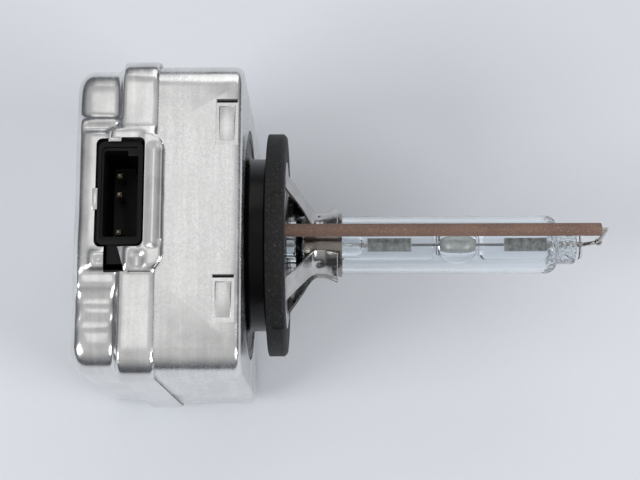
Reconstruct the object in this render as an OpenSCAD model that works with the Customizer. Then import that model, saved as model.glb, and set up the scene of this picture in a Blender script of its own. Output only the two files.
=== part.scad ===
// Gas-discharge headlight bulb with a built-in igniter box.
// +X runs along the bulb towards the glass tip, +Z towards the connector.
// The origin is on the bulb's axis, in the front plane of the reference ring.

/* [Glass] */
// Distance from the reference plane to the middle of the arc
light_centre = 27.1; // [25:0.1:33]
// Outer radius of the clear outer bulb
bulb_r = 4.65; // [4.4:0.05:5.6]
// Wall of the outer bulb
bulb_wall = 0.8; // [0.5:0.05:0.9]
// Radius of the outer bulb's narrowed rear end
bulb_tail_r = 3.9; // [3.5:0.05:4.2]
// Radius of the outer bulb's narrowed front end
bulb_tip_r = 3.15; // [2.8:0.05:3.6]
// Outer radius of the arc chamber
chamber_r = 3.1; // [2.8:0.05:3.2]
// Half the length of the arc chamber outside
chamber_half = 3.15; // [2.8:0.05:3.6]
// Radius of the hollow in the arc chamber
cavity_r = 1.4; // [1.1:0.05:1.7]
// Half the length of that hollow
cavity_half = 2.9; // [2.6:0.05:4]
// Outer radius of the sealed ends of the arc tube
seal_r = 2.4; // [2:0.05:2.5]
// Half the gap between the electrode tips
electrode_gap_half = 2.1; // [1.8:0.05:2.4]
// Radius of an electrode
electrode_r = 0.15; // [0.1:0.01:0.25]
// Length of a molybdenum foil
foil_length = 7; // [6:0.1:7.4]
// Width of a molybdenum foil
foil_width = 1.5; // [1:0.1:2.2]
// Thickness of a molybdenum foil
foil_t = 0.12; // [0.08:0.01:0.2]
// Radius of the lead wires
lead_r = 0.3; // [0.2:0.01:0.35]

/* [Return path] */
// Distance of the ceramic tube from the bulb's axis
rod_offset = 9.2; // [8:0.1:9.4]
// Turn of the ceramic tube about the bulb's axis
rod_turn = 3; // [-5:0.5:5]
// Outer radius of the ceramic tube
rod_r = 1; // [0.8:0.05:1.1]
// Length of the ceramic tube in front of the reference plane
rod_length = 48.6; // [45:0.1:48.8]
// Radius of the return wire
return_r = 0.3; // [0.2:0.01:0.4]

/* [Reference ring and base] */
// Outer radius of the reference ring
ring_r = 17.75; // [16.5:0.05:18.5]
// Thickness of the reference ring
ring_t = 2.9; // [2.4:0.1:3.5]
// Chamfer on the front rim of the reference ring
ring_chamfer = 0.45; // [0.3:0.05:0.8]
// Depth of the notches in the ring's rim
notch_depth = 0.3; // [0.2:0.05:0.5]
// Width of the notches round the rim
notch_width = 3.6; // [3:0.1:5]
// Length of the notches along the axis
notch_length = 1.9; // [1:0.1:2.2]
// Radius of the neck between the ring and the box
neck_r = 13.75; // [13:0.05:14.5]
// Length of the neck
neck_length = 3; // [2.5:0.1:4]
// Radius of the base's spigot, which carries the ring
spigot_r = 10.9; // [10.7:0.05:11.2]
// Radius of the round opening in the front of the box
opening_r = 18.3; // [17.5:0.05:18.6]

/* [Burner holder] */
// Width of a support leg
leg_width = 4.4; // [3:0.1:4.8]
// Thickness of the legs' sheet
leg_t = 0.35; // [0.25:0.05:0.45]
// Distance of a leg's root outside the spigot
leg_root = 1; // [0.8:0.1:1.3]
// Start of the clamp band in front of the reference plane
band_start = 2.8; // [2.5:0.1:3]
// Width of the clamp band
band_width = 5.9; // [5:0.1:6.5]
// Thickness of the clamp band
band_t = 0.3; // [0.2:0.05:0.35]
// Width of the holder ring's face
holder_face = 2.4; // [2:0.1:2.8]
// Thickness of the holder ring
holder_t = 0.5; // [0.4:0.05:0.7]

/* [Igniter box] */
// Width of the main can, along Y
can_width = 46.8; // [45:0.1:56]
// Depth of the main can, along Z
can_depth = 45.8; // [45:0.1:55]
// Length of the box behind the neck
box_length = 24.85; // [24.5:0.05:30]
// Thickness of the cans' sheet
sheet_t = 0.45; // [0.3:0.05:0.5]
// Radius of the cans' long corners
corner_r = 4; // [3:0.1:5]
// Bevel along the main can's front edge
front_bevel = 0.5; // [0.3:0.05:0.8]
// Distance from the neck to the front edge of the cover's collar
collar_front = 12.25; // [12:0.05:12.6]
// Length of the cover's collar
collar_length = 5.3; // [5:0.1:5.5]
// Length of the flare between the collar and the rear part
flare_length = 0.8; // [0.6:0.1:1]
// Gap between the main can and the cover's collar
collar_gap = 0.3; // [0.2:0.05:0.4]
// How far the rear part stands inside the main can's outline
rear_inset = 0.4; // [0.2:0.05:0.6]
// Radius of the rear part's back edges
rear_r = 2.4; // [2:0.1:3]
// Height of the raised panel round the connector
panel_rise = 0.8; // [0.6:0.1:1]
// How far the raised panel reaches past the connector's opening, along Y
panel_margin = 3.8; // [3:0.1:4.5]
// Width of a latch pocket
latch_width = 2.4; // [2:0.1:3]
// Depth of a latch pocket
latch_depth = 0.22; // [0.15:0.01:0.28]
// Width of the slit at a latch's end
latch_slit = 0.35; // [0.2:0.05:0.5]

/* [Connector] */
// Middle of the connector along Y
socket_y = 3.2; // [2.5:0.1:4]
// Distance from the neck to the middle of the connector
socket_back = 17.8; // [17.7:0.05:17.9]
// Width of the socket's cavity
cavity_width = 5; // [4.6:0.1:5.1]
// Length of the socket's cavity
cavity_length = 12.9; // [12.5:0.1:13.2]
// Depth of the socket's cavity
cavity_depth = 11; // [9:0.1:11.5]
// Side walls of the receptacle
receptacle_wall = 0.8; // [0.7:0.05:0.85]
// End walls of the receptacle
receptacle_end = 1.3; // [1:0.1:1.5]
// Gap between the receptacle and the sheet round it
socket_gap = 0.45; // [0.3:0.05:0.5]
// Distance between neighbouring contacts
pin_pitch = 2.9; // [2.5:0.05:3]
// Side of a contact pin
pin_side = 0.64; // [0.5:0.01:0.8]
// Depth of the pins' ends below the mouth of the socket
pin_sunk = 7; // [6:0.1:8]
// Distance of the contacts behind the middle of the socket
pin_back = 1.15; // [0:0.05:1.2]

/* [Igniter] */
// Wall of the igniter housing
housing_wall = 1.2; // [1:0.1:1.3]
// Gap between the housing and the cans
housing_gap = 0.3; // [0.2:0.05:0.4]
// Radius of the transformer's ferrite core
core_r = 3.6; // [3:0.1:3.8]
// Radius of the transformer's bobbin flanges
flange_r = 8.8; // [8.4:0.1:8.8]
// Length of the transformer's bobbin
bobbin_length = 34; // [30:0.5:36]
// Chambers in the bobbin
chambers = 6; // [5:1:7]
// Radius of the secondary winding
winding_r = 8; // [7.4:0.1:8.2]
// Height of the carrier plate's top above the axis
carrier_top = 5.9; // [5.6:0.1:6.2]
// Thickness of the carrier plate
carrier_t = 1.2; // [1:0.1:1.4]
// Radius of the spark gap's body
gap_body_r = 3.7; // [3:0.1:3.8]
// Length of the spark gap with its caps
gap_length = 7.2; // [6.5:0.1:7.5]
// Size of the pulse capacitor along X, Y and Z
capacitor = [15, 6, 11.5];
// Radius of the bleed resistor
resistor_r = 1.2; // [0.9:0.1:1.4]

/* [Fits] */
// Gap between the glass and what it sits in
glass_gap = 0.03; // [0.01:0.01:0.05]
// Gap between pieces that are pushed together
push_gap = 0.05; // [0.02:0.01:0.1]
// Gap under pieces that lie on a seat
seat_gap = 0.02; // [0.01:0.01:0.05]

/* [Hidden] */
$fn = 64;
hull_fn = 32;
cut = 1;

// How far short of the collar's back end the main can stops
cover_seat = 0.6;

// Places along X
ring_back = -ring_t;
box_front = ring_back - neck_length;
box_back = box_front - box_length;
collar_x = box_front - collar_front;
collar_back_x = collar_x - collar_length;
flare_back_x = collar_back_x - flare_length;
socket_x = box_front - socket_back;
pin_x = socket_x - pin_back;

// Half sizes of the box, across Y and Z
can_half = [can_width / 2, can_depth / 2];
collar_half = can_half + [1, 1] * (collar_gap + sheet_t);
rear_half = can_half - [1, 1] * rear_inset;
housing_half = rear_half - [1, 1] * (sheet_t + housing_gap);
panel_z = rear_half[1] + panel_rise;

// Receptacle and the opening round it
receptacle_size = [cavity_width + 2 * receptacle_wall, cavity_length + 2 * receptacle_end];
window_size = receptacle_size + [2, 2] * socket_gap;
socket_mouth_z = can_half[1] + 0.1;
socket_floor_z = socket_mouth_z - cavity_depth;
receptacle_floor = 1.6;
strip_t = 0.6;
strip_width = 1.2;

// Housing
floor_front_x = box_front - sheet_t - 1.2;
floor_back_x = floor_front_x - housing_wall;
housing_back_x = box_back + sheet_t + 2.8;
base_disc_r = opening_r - 0.15;
boss_r = 4;
boss_length = 4.4;
boss_back_x = floor_front_x - boss_length;

// Glass
cone_length = 1.7;
tail_end_x = -1.2;
bulb_shoulder_x = band_start + 0.2;
tip_shoulder_x = light_centre + 14;
tip_start_x = tip_shoulder_x + cone_length;
tip_end_x = tip_start_x + 3;
stem_end_x = tip_end_x + 1;
stem_back_x = boss_back_x + 2.8;
foil_near = 7.4;
foil_far = foil_near + foil_length;
bend_x = stem_end_x + 2.6;
weld_rise = 1.6;
glass_slot = foil_t + 2 * glass_gap;

// Transformer
transformer_x = (floor_back_x + housing_back_x) / 2;
transformer_z = -housing_half[1] + housing_wall + flange_r + 0.5;
flange_t = 0.9;
chamber_pitch = (bobbin_length - flange_t) / chambers;
bobbin_tube_r = core_r + 1.3;
core_length = bobbin_length + 4;
high_chamber_y = -bobbin_length / 2 + flange_t / 2 + chamber_pitch / 2;
terminal_back_x = boss_back_x - 2.6;

// Small components
gap_place = [transformer_x, -14.6, carrier_top + gap_body_r + 0.4];
resistor_place = [floor_back_x - 4, -11, carrier_top + resistor_r];
capacitor_place = [transformer_x, housing_half[0] - housing_wall - 0.4 - capacitor[1] / 2];
function pin_y(place) = socket_y + (1.5 - place) * pin_pitch;
pin_top_z = socket_mouth_z - pin_sunk;
wire_end_x = floor_back_x - 2;

// ---------- helpers ----------

// Turns a shape that stands on Z so that it points along +X
module along_x() {
    rotate([0, 90, 0])
        children();
}

// Tube or disc along X between two places
module x_cylinder(from_x, to_x, r) {
    translate([from_x, 0, 0])
        along_x()
            cylinder(h = to_x - from_x, r = r);
}

// Turned shape from [radius, x] points
module x_turned(points) {
    along_x()
        rotate_extrude()
            polygon(points);
}

// Rectangle with round corners, as exact arcs; first size is along Y
module round_rect(half, r) {
    square([2 * half[0], 2 * (half[1] - r)], center = true);
    square([2 * (half[0] - r), 2 * half[1]], center = true);
    for (sy = [-1, 1])
        for (sz = [-1, 1])
            translate([sy * (half[0] - r), sz * (half[1] - r)])
                circle(r);
}

// Box with round long corners between two places along X
module x_box(from_x, to_x, half, r) {
    translate([from_x, 0, 0])
        rotate([90, 0, 90])
            linear_extrude(to_x - from_x)
                round_rect(half, r);
}

// Sheet pattern in plan: X across, Y up, extruded along Z
module plan_box(x, y, size, from_z, to_z, r = 0.8) {
    translate([x, y, from_z])
        linear_extrude(to_z - from_z)
            round_rect(size / 2, r);
}

// Solid skin with rounded back edges: from back_x to front_x
module drawn_box(back_x, front_x, half, long_r, back_r) {
    hull() {
        for (sy = [-1, 1])
            for (sz = [-1, 1]) {
                translate([back_x + back_r, sy * (half[0] - long_r), sz * (half[1] - long_r)])
                    scale([back_r / long_r, 1, 1])
                        sphere(long_r, $fn = hull_fn);
                translate([front_x - 0.1, sy * (half[0] - long_r), sz * (half[1] - long_r)])
                    along_x()
                        cylinder(h = 0.1, r = long_r, $fn = hull_fn);
            }
    }
}

// Straight-sided bevel between two rounded rectangles
module flare(back_x, front_x, back_half, front_half, back_r, front_r) {
    hull() {
        translate([back_x, 0, 0])
            rotate([90, 0, 90])
                linear_extrude(0.02)
                    round_rect(back_half, back_r, $fn = hull_fn);
        translate([front_x - 0.02, 0, 0])
            rotate([90, 0, 90])
                linear_extrude(0.02)
                    round_rect(front_half, front_r, $fn = hull_fn);
    }
}

// Raised panel on the connector face, round at the back and sloping at its ends
module panel(inset) {
    length_y = window_size[1] + 2 * (panel_margin - inset);
    slope = 1.4;
    back_r = rear_r;
    back_x = box_back + back_r + 0.3;
    front_x = flare_back_x + (inset > 0 ? 0 : flare_length / 2);
    top_z = panel_z - inset;
    hull() {
        translate([back_x, socket_y, panel_z - back_r])
            rotate([90, 0, 0])
                cylinder(h = length_y - 2 * slope, r = back_r - inset, center = true, $fn = hull_fn);
        translate([back_x, socket_y - length_y / 2 + slope, panel_z - back_r])
            cube([front_x - back_x, length_y - 2 * slope, back_r - inset]);
        translate([back_x, socket_y - length_y / 2, panel_z - 2 * back_r])
            cube([front_x - back_x, length_y, 2 * back_r - panel_rise - inset]);
    }
}

// ---------- igniter box ----------

module main_can_skin(inset) {
    half = can_half - [1, 1] * inset;
    x_box(collar_back_x + cover_seat, box_front - front_bevel - inset, half, corner_r - inset);
    flare(box_front - front_bevel - inset - 0.02, box_front - inset, half,
        half - [1, 1] * front_bevel, corner_r - inset, corner_r - inset - front_bevel);
}

// One latch pocket in the face towards +Z: a shallow press with a slit along its top
module latch_cut(x, y, length) {
    face = can_half[1];
    translate([x - latch_width / 2, y - length / 2, face - latch_depth])
        cube([latch_width, length, cut]);
    translate([x - latch_width / 2, y + length / 2 - latch_slit, face - 2 * sheet_t])
        cube([latch_width, latch_slit, 3 * sheet_t]);
}

module main_can() {
    color([0.78, 0.79, 0.80])
        difference() {
            main_can_skin(0);
            intersection() {
                main_can_skin(sheet_t);
                translate([collar_back_x, -can_width, -can_depth])
                    cube([box_front - sheet_t - collar_back_x, 2 * can_width, 2 * can_depth]);
            }
            x_box(collar_back_x - cut, collar_back_x + cut, can_half - [1, 1] * sheet_t, corner_r - sheet_t);
            x_cylinder(box_front - 2, box_front + cut, opening_r);
            plan_box(socket_x, socket_y, window_size, 0, can_depth);
            latch_cut(box_front - 2, 13.9, 6.6);
            latch_cut(box_front - 2.4, -12.3, 6);
        }
}

module cover_skin(inset) {
    rear = rear_half - [1, 1] * inset;
    collar = collar_half - [1, 1] * inset;
    drawn_box(box_back + inset, flare_back_x + 0.1, rear, corner_r - inset, rear_r);
    flare(flare_back_x, collar_back_x + 0.02, rear, collar, corner_r - inset, corner_r - inset);
    x_box(collar_back_x, collar_x, collar, corner_r - inset);
}

// Raised frame along the front side of the connector, and the flap that it ends in
module frame_bead() {
    length_y = window_size[1] + 2;
    bead_width = 2.7;
    flap_y = 2.6;
    base_z = collar_half[1] - sheet_t / 2;
    height = sheet_t / 2 + 0.55;
    edge_x = socket_x + window_size[0] / 2;
    low_y = socket_y - length_y / 2 - 0.7;
    translate([edge_x - 0.1, low_y, base_z])
        cube([bead_width + 0.1, length_y, height]);
    translate([edge_x - 2.6, low_y - 1, base_z])
        cube([bead_width + 2, flap_y, height - 0.2]);
}

module rear_cover() {
    color([0.80, 0.80, 0.81])
        difference() {
            union() {
                cover_skin(0);
                panel(0);
                frame_bead();
            }
            cover_skin(sheet_t);
            panel(sheet_t);
            x_box(collar_x - cut, collar_x + cut, collar_half - [1, 1] * sheet_t, corner_r - sheet_t);
            plan_box(socket_x, socket_y, window_size, 0, can_depth);
            // notch under the socket for the plug's guide wedge
            translate([socket_x - 2, socket_y - window_size[1] / 2 - 3.4, 0])
                cube([3.2, 4, can_depth]);
        }
}

// ---------- connector ----------

module connector_receptacle() {
    low_z = socket_floor_z - receptacle_floor;
    color([0.09, 0.09, 0.10])
        difference() {
            union() {
                plan_box(socket_x, socket_y, receptacle_size, low_z, socket_mouth_z, 0.8);
                // guide wedge below the mouth
                translate([socket_x - 1.8, socket_y - receptacle_size[1] / 2 - 2.9, socket_mouth_z - 3])
                    cube([2.6, 3.2, 2.6]);
                // feet on the carrier plate
                for (side = [-1, 1])
                    translate([socket_x - 1.5, socket_y + side * (receptacle_size[1] / 2 - 1), carrier_top + seat_gap])
                        translate([0, -0.7, 0])
                            cube([3, 1.4, low_z - carrier_top]);
            }
            difference() {
                plan_box(socket_x, socket_y, [cavity_width, cavity_length], socket_floor_z, can_depth, 0.4);
                // key step in the corner of the mouth
                translate([socket_x + cavity_width / 2 - 1.5, socket_y + cavity_length / 2 - 0.8, 0])
                    cube([2, 2, can_depth]);
            }
            for (place = [0, 1, 3])
                translate([pin_x, pin_y(place), 0])
                    cube([pin_side + 2 * push_gap, pin_side + 2 * push_gap, can_depth], center = true);
        }
}

// Pin of one contact, standing on its strip
module pin(place) {
    translate([pin_x - pin_side / 2, pin_y(place) - pin_side / 2, carrier_top + seat_gap])
        cube([pin_side, pin_side, pin_top_z - carrier_top - 0.3]);
    hull() {
        translate([pin_x - pin_side / 2, pin_y(place) - pin_side / 2, pin_top_z - 0.4])
            cube([pin_side, pin_side, 0.05]);
        translate([pin_x - pin_side / 4, pin_y(place) - pin_side / 4, pin_top_z])
            cube([pin_side / 2, pin_side / 2, 0.05]);
    }
}

// Flat strip on the carrier plate between two places
module strip(from, to) {
    low = [min(from[0], to[0]), min(from[1], to[1])];
    high = [max(from[0], to[0]), max(from[1], to[1])];
    translate([low[0] - strip_width / 2, low[1] - strip_width / 2, carrier_top + seat_gap])
        cube([high[0] - low[0] + strip_width, high[1] - low[1] + strip_width, strip_t]);
}

module supply_contact() {
    turn_x = socket_x + 5.2;
    color([0.80, 0.68, 0.36]) {
        pin(0);
        strip([pin_x, pin_y(0)], [turn_x, pin_y(0)]);
        strip([turn_x, pin_y(0)], [turn_x, capacitor_place[1] - capacitor[1] / 2 - 1]);
    }
}

module trigger_contact() {
    turn_x = floor_back_x - 3;
    color([0.80, 0.68, 0.36]) {
        pin(1);
        strip([pin_x, pin_y(1)], [turn_x, pin_y(1)]);
        strip([turn_x, pin_y(1)], [turn_x, capacitor_place[1] - capacitor[1] / 2 - 1]);
    }
}

module return_contact() {
    end_x = floor_back_x - 1.2;
    wire_z = rod_offset * cos(rod_turn);
    wire_y = rod_offset * sin(rod_turn);
    color([0.80, 0.68, 0.36]) {
        pin(3);
        strip([pin_x, pin_y(3)], [end_x, pin_y(3)]);
        strip([end_x, pin_y(3)], [end_x, wire_y]);
        translate([end_x - strip_width / 2, wire_y - strip_width / 2, carrier_top + seat_gap])
            cube([strip_width, strip_width, wire_z - return_r - carrier_top - 2 * seat_gap]);
    }
}

// ---------- base ----------

// Places something where the ceramic tube runs
module at_rod() {
    rotate([-rod_turn, 0, 0])
        translate([0, 0, rod_offset])
            children();
}

module base_body() {
    color([0.07, 0.07, 0.08])
        difference() {
            union() {
                x_cylinder(floor_front_x + seat_gap, box_front, base_disc_r);
                x_cylinder(box_front - 0.1, ring_back, neck_r);
                x_cylinder(ring_back - 0.1, 0, spigot_r);
                x_cylinder(boss_back_x, floor_front_x + 0.1, boss_r);
            }
            // seat of the bulb's narrowed end
            x_cylinder(tail_end_x - 0.1, cut, bulb_tail_r + glass_gap);
            // seat of the arc tube's stem
            x_cylinder(stem_back_x - 0.1, cut, seal_r + glass_gap);
            // seat of the high-voltage terminal
            x_cylinder(boss_back_x - cut, stem_back_x, 1.2 + push_gap);
            at_rod() {
                x_cylinder(-2, cut, rod_r + glass_gap);
                x_cylinder(floor_back_x - cut, cut, return_r + glass_gap);
            }
        }
}

module reference_ring() {
    hole_r = spigot_r + push_gap;
    pocket_r = hole_r + holder_face + push_gap;
    color([0.15, 0.15, 0.16])
        difference() {
            x_turned([
                [hole_r, ring_back],
                [ring_r, ring_back],
                [ring_r, -ring_chamfer],
                [ring_r - ring_chamfer, 0],
                [pocket_r, 0],
                [pocket_r, -holder_t - seat_gap],
                [hole_r, -holder_t - seat_gap]
            ]);
            for (turn = [9.5, -52])
                rotate([-turn, 0, 0])
                    translate([-notch_length, -notch_width / 2, ring_r - notch_depth])
                        cube([notch_length + cut, notch_width, cut]);
        }
}

module holder_ring() {
    inner_r = spigot_r + push_gap;
    color([0.72, 0.72, 0.73])
        difference() {
            x_cylinder(-holder_t, 0, inner_r + holder_face);
            x_cylinder(-holder_t - cut, cut, inner_r);
        }
}

// Support leg: foot on the holder ring, slope, weld seat on the band, flared end
module leg(turn) {
    seat_r = bulb_r + glass_gap + band_t + seat_gap;
    root_r = spigot_r + leg_root;
    weld_place = band_start + 2.3;
    end_x = band_start + band_width;
    outline = [
        [seat_gap, root_r + 1.2],
        [seat_gap, root_r - 0.3],
        [band_start + 0.6, seat_r + 0.85],
        [weld_place - 0.7, seat_r],
        [weld_place + 0.5, seat_r],
        [end_x - 1.2, seat_r + 0.55],
        [end_x, seat_r + 0.75]
    ];
    back = [
        [end_x, seat_r + 0.75 + leg_t],
        [end_x - 1.2, seat_r + 0.55 + leg_t],
        [weld_place + 0.5, seat_r + leg_t],
        [weld_place - 0.5, seat_r + leg_t],
        [band_start + 0.9, seat_r + 0.85 + leg_t],
        [seat_gap + leg_t, root_r],
        [seat_gap + leg_t, root_r + 1.2]
    ];
    rotate([-turn, 0, 0])
        difference() {
            translate([0, leg_width / 2, 0])
                rotate([90, 0, 0])
                    linear_extrude(leg_width)
                        polygon(concat(outline, back));
            // weld mark
            translate([weld_place, 0, seat_r + leg_t - 0.12])
                cylinder(h = cut, r = 0.5);
        }
}

module leg_upper_front() {
    color([0.70, 0.71, 0.73])
        leg(45);
}

module leg_lower_front() {
    color([0.70, 0.71, 0.73])
        leg(-45);
}

module leg_lower_back() {
    color([0.70, 0.71, 0.73])
        leg(-135);
}

module leg_upper_back() {
    color([0.70, 0.71, 0.73])
        leg(135);
}

module clamp_band() {
    inner_r = bulb_r + glass_gap;
    color([0.66, 0.67, 0.69])
        difference() {
            x_cylinder(band_start, band_start + band_width, inner_r + band_t);
            x_cylinder(band_start - cut, band_start + band_width + cut, inner_r);
        }
}

// ---------- glass ----------

// Quarter-round shoulder, as [radius, x] points from the straight wall to the tail
function shoulder(from_x, to_x, big_r, small_r) =
    [for (a = [0:15:90]) [small_r + (big_r - small_r) * cos(a), from_x + (to_x - from_x) * sin(a)]];

// The same points the other way round
function turned_round(list) = [for (i = [len(list) - 1:-1:0]) list[i]];

module outer_bulb() {
    inner_r = bulb_r - bulb_wall;
    stem_r = seal_r + glass_gap;
    outline = concat(
        [[bulb_tail_r, tail_end_x]],
        turned_round(shoulder(bulb_shoulder_x, bulb_shoulder_x - 1.6, bulb_r, bulb_tail_r)),
        shoulder(tip_shoulder_x, tip_start_x, bulb_r, bulb_tip_r),
        [[bulb_tip_r, tip_end_x - 0.4], [bulb_tip_r - 0.4, tip_end_x], [stem_r, tip_end_x]],
        turned_round(shoulder(tip_shoulder_x - 0.4, tip_start_x - 0.4, inner_r, stem_r)),
        shoulder(bulb_shoulder_x + 0.4, bulb_shoulder_x - 1, inner_r, stem_r),
        [[stem_r, tail_end_x]]
    );
    color([0.85, 0.92, 1.0, 0.35])
        x_turned(outline);
}

// Radius of an ellipse with half length a and radius r, at a distance x from its middle
function oval_r(x, a, r) = r * sqrt(max(0, 1 - x * x / (a * a)));

module arc_tube() {
    oval_half = chamber_half / sqrt(1 - seal_r * seal_r / (chamber_r * chamber_r));
    steps = 8;
    chamber = [for (i = [-steps:steps])
        [oval_r(i * chamber_half / steps, oval_half, chamber_r), light_centre + i * chamber_half / steps]];
    hollow = [for (i = [-steps:steps])
        [oval_r(i * cavity_half / steps, cavity_half, cavity_r), light_centre + i * cavity_half / steps]];
    color([0.88, 0.92, 0.96, 0.4])
        difference() {
            x_turned(concat(
                [[0, stem_back_x], [seal_r, stem_back_x]],
                chamber,
                [[seal_r, stem_end_x], [0, stem_end_x]]
            ));
            x_turned(hollow);
            x_cylinder(stem_back_x - cut, stem_end_x + cut, electrode_r + glass_gap);
            for (side = [-1, 1]) {
                foil_slot(side);
                lead_bore(side);
            }
        }
}

// Slot in a seal for its foil
module foil_slot(side) {
    middle = light_centre + side * (foil_near + foil_far) / 2;
    translate([middle, 0, 0])
        cube([foil_length + 2 * glass_gap, foil_width + 2 * glass_gap, glass_slot], center = true);
}

// Bore for a lead wire, from the foil to the stem's end; the rear stem is hollow behind the seal
module lead_bore(side) {
    foil_end = light_centre + side * (foil_far - 0.1);
    end_x = side > 0 ? stem_end_x + cut : stem_back_x - cut;
    x_cylinder(min(foil_end, end_x), max(foil_end, end_x), lead_r + glass_gap);
    if (side < 0)
        x_cylinder(stem_back_x - cut, light_centre - foil_far - 1, seal_r - 1);
}

module electrode(side) {
    tip_x = light_centre + side * electrode_gap_half;
    root_x = light_centre + side * (foil_near - glass_gap);
    x_cylinder(min(tip_x, root_x), max(tip_x, root_x), electrode_r);
}

module electrode_front() {
    color([0.45, 0.45, 0.47])
        electrode(1);
}

module electrode_back() {
    color([0.45, 0.45, 0.47])
        electrode(-1);
}

module foil(side) {
    middle = light_centre + side * (foil_near + foil_far) / 2;
    translate([middle, 0, 0])
        cube([foil_length - 2 * glass_gap, foil_width, foil_t], center = true);
}

module foil_front() {
    color([0.62, 0.63, 0.64])
        foil(1);
}

module foil_back() {
    color([0.62, 0.63, 0.64])
        foil(-1);
}

// Front lead: straight out of the stem, then slanting towards the return wire
module lead_end(r) {
    bend_from = stem_end_x + 0.5;
    reach = bend_x - bend_from;
    x_cylinder(light_centre + foil_far, bend_from, r);
    rotate([-rod_turn, 0, 0])
        translate([bend_from, 0, 0]) {
            sphere(r + 0.03);
            rotate([0, atan2(reach, weld_rise), 0])
                cylinder(h = norm([reach, weld_rise]), r = r);
        }
}

module lead_front() {
    color([0.55, 0.55, 0.56])
        lead_end(lead_r);
}

module lead_back() {
    color([0.55, 0.55, 0.56])
        x_cylinder(terminal_back_x + 0.6, light_centre - foil_far, lead_r);
}

// Salts frozen on the lower wall of the chamber
module halide_salts() {
    depth = 0.45;
    steps = 8;
    hollow = [for (i = [-steps:steps])
        [oval_r(i * cavity_half / steps, cavity_half, cavity_r - glass_gap), light_centre + i * cavity_half / steps]];
    color([0.85, 0.87, 0.55])
        intersection() {
            x_turned(hollow);
            translate([light_centre - cavity_half, -cavity_r, -cavity_r])
                cube([2 * cavity_half, 2 * cavity_r, depth]);
        }
}

// ---------- return path ----------

module ceramic_tube() {
    color([0.44, 0.35, 0.31])
        at_rod()
            difference() {
                x_cylinder(-2 + seat_gap, rod_length, rod_r);
                x_cylinder(-2 - cut, rod_length + cut, return_r + glass_gap);
            }
}

module return_wire() {
    bead_r = 0.6;
    color([0.60, 0.59, 0.58])
        difference() {
            union() {
                at_rod() {
                    x_cylinder(wire_end_x, bend_x, return_r);
                    translate([bend_x, 0, 0])
                        sphere(return_r);
                }
                rotate([-rod_turn, 0, 0])
                    translate([bend_x, 0, weld_rise]) {
                        cylinder(h = rod_offset - weld_rise, r = return_r);
                        // weld bead round the end of the lead
                        sphere(bead_r);
                    }
            }
            lead_end(lead_r + seat_gap);
        }
}

module high_voltage_terminal() {
    color([0.82, 0.70, 0.38])
        difference() {
            union() {
                x_cylinder(terminal_back_x, stem_back_x - seat_gap, 1.2);
                x_cylinder(terminal_back_x, boss_back_x - seat_gap, 1.7);
            }
            x_cylinder(terminal_back_x + 0.5, cut, lead_r + push_gap);
        }
}

// Bent wire through a list of places
module bent_wire(places, r) {
    for (i = [0:len(places) - 2]) {
        from = places[i];
        reach = places[i + 1] - from;
        span = norm(reach);
        translate(from)
            rotate([0, acos(reach[2] / span), atan2(reach[1], reach[0])])
                cylinder(h = span, r = r);
        if (i > 0)
            translate(from)
                sphere(r);
    }
}

module high_voltage_lead() {
    wire_r = 0.4;
    start_x = terminal_back_x - seat_gap;
    color([0.72, 0.45, 0.25])
        bent_wire([
            [start_x, 0, 0],
            [transformer_x, 0, 0],
            [transformer_x, high_chamber_y, 0],
            [transformer_x, high_chamber_y, transformer_z + winding_r + seat_gap]
        ], wire_r);
}

// ---------- igniter ----------

module igniter_housing() {
    inner = housing_half - [1, 1] * housing_wall;
    outer_r = corner_r - sheet_t - housing_gap;
    ledge_z = carrier_top - carrier_t;
    color([0.12, 0.12, 0.13]) {
        difference() {
            x_box(housing_back_x, box_front - sheet_t - seat_gap, housing_half, outer_r);
            x_box(housing_back_x - cut, floor_back_x, inner, outer_r - housing_wall);
            x_cylinder(floor_front_x, box_front, base_disc_r + push_gap);
            x_cylinder(floor_back_x - cut, floor_front_x + cut, boss_r + push_gap);
            at_rod()
                x_cylinder(floor_back_x - cut, floor_front_x + cut, return_r + push_gap);
            plan_box(socket_x, socket_y - 1.6, receptacle_size + [0.3, 3.8], 0, can_depth, 0.4);
        }
        // ledges under the carrier plate
        for (side = [-1, 1])
            translate([housing_back_x + 1, side * (inner[0] - 0.4) - 0.8, ledge_z - 2])
                cube([floor_back_x - housing_back_x - 1, 1.6, 2 - seat_gap]);
        // saddles under the transformer's end flanges
        for (side = [-1, 1])
            translate([transformer_x - 4, side * (bobbin_length / 2 - 1.5) - 1.6, -inner[1] - 0.2])
                cube([8, 3.2, 0.7 - seat_gap]);
    }
}

module carrier_plate() {
    inner = housing_half - [1, 1] * housing_wall;
    color([0.36, 0.28, 0.16])
        difference() {
            translate([housing_back_x + 1.2, -inner[0] + 0.15, carrier_top - carrier_t])
                cube([floor_back_x - housing_back_x - 1.4, 2 * inner[0] - 0.3, carrier_t]);
            // holes under the capacitor's legs and the spark gap's tails
            for (side = [-1, 1]) {
                translate([capacitor_place[0] + side * 5, capacitor_place[1], 0])
                    cylinder(h = 2 * carrier_top, r = 0.45);
                translate([gap_place[0], gap_place[1] + side * (gap_length / 2 - 0.5), 0])
                    cylinder(h = 2 * carrier_top, r = 0.45);
            }
        }
}

module transformer_core() {
    color([0.20, 0.20, 0.21])
        translate([transformer_x, 0, transformer_z])
            rotate([90, 0, 0])
                cylinder(h = core_length, r = core_r, center = true);
}

// Slots in the bobbin's flanges, where the winding passes to the next chamber
module crossing(r_low, r_high, width, from_y, to_y) {
    translate([transformer_x - width / 2, from_y, transformer_z - r_high])
        cube([width, to_y - from_y, r_high - r_low]);
}

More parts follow.
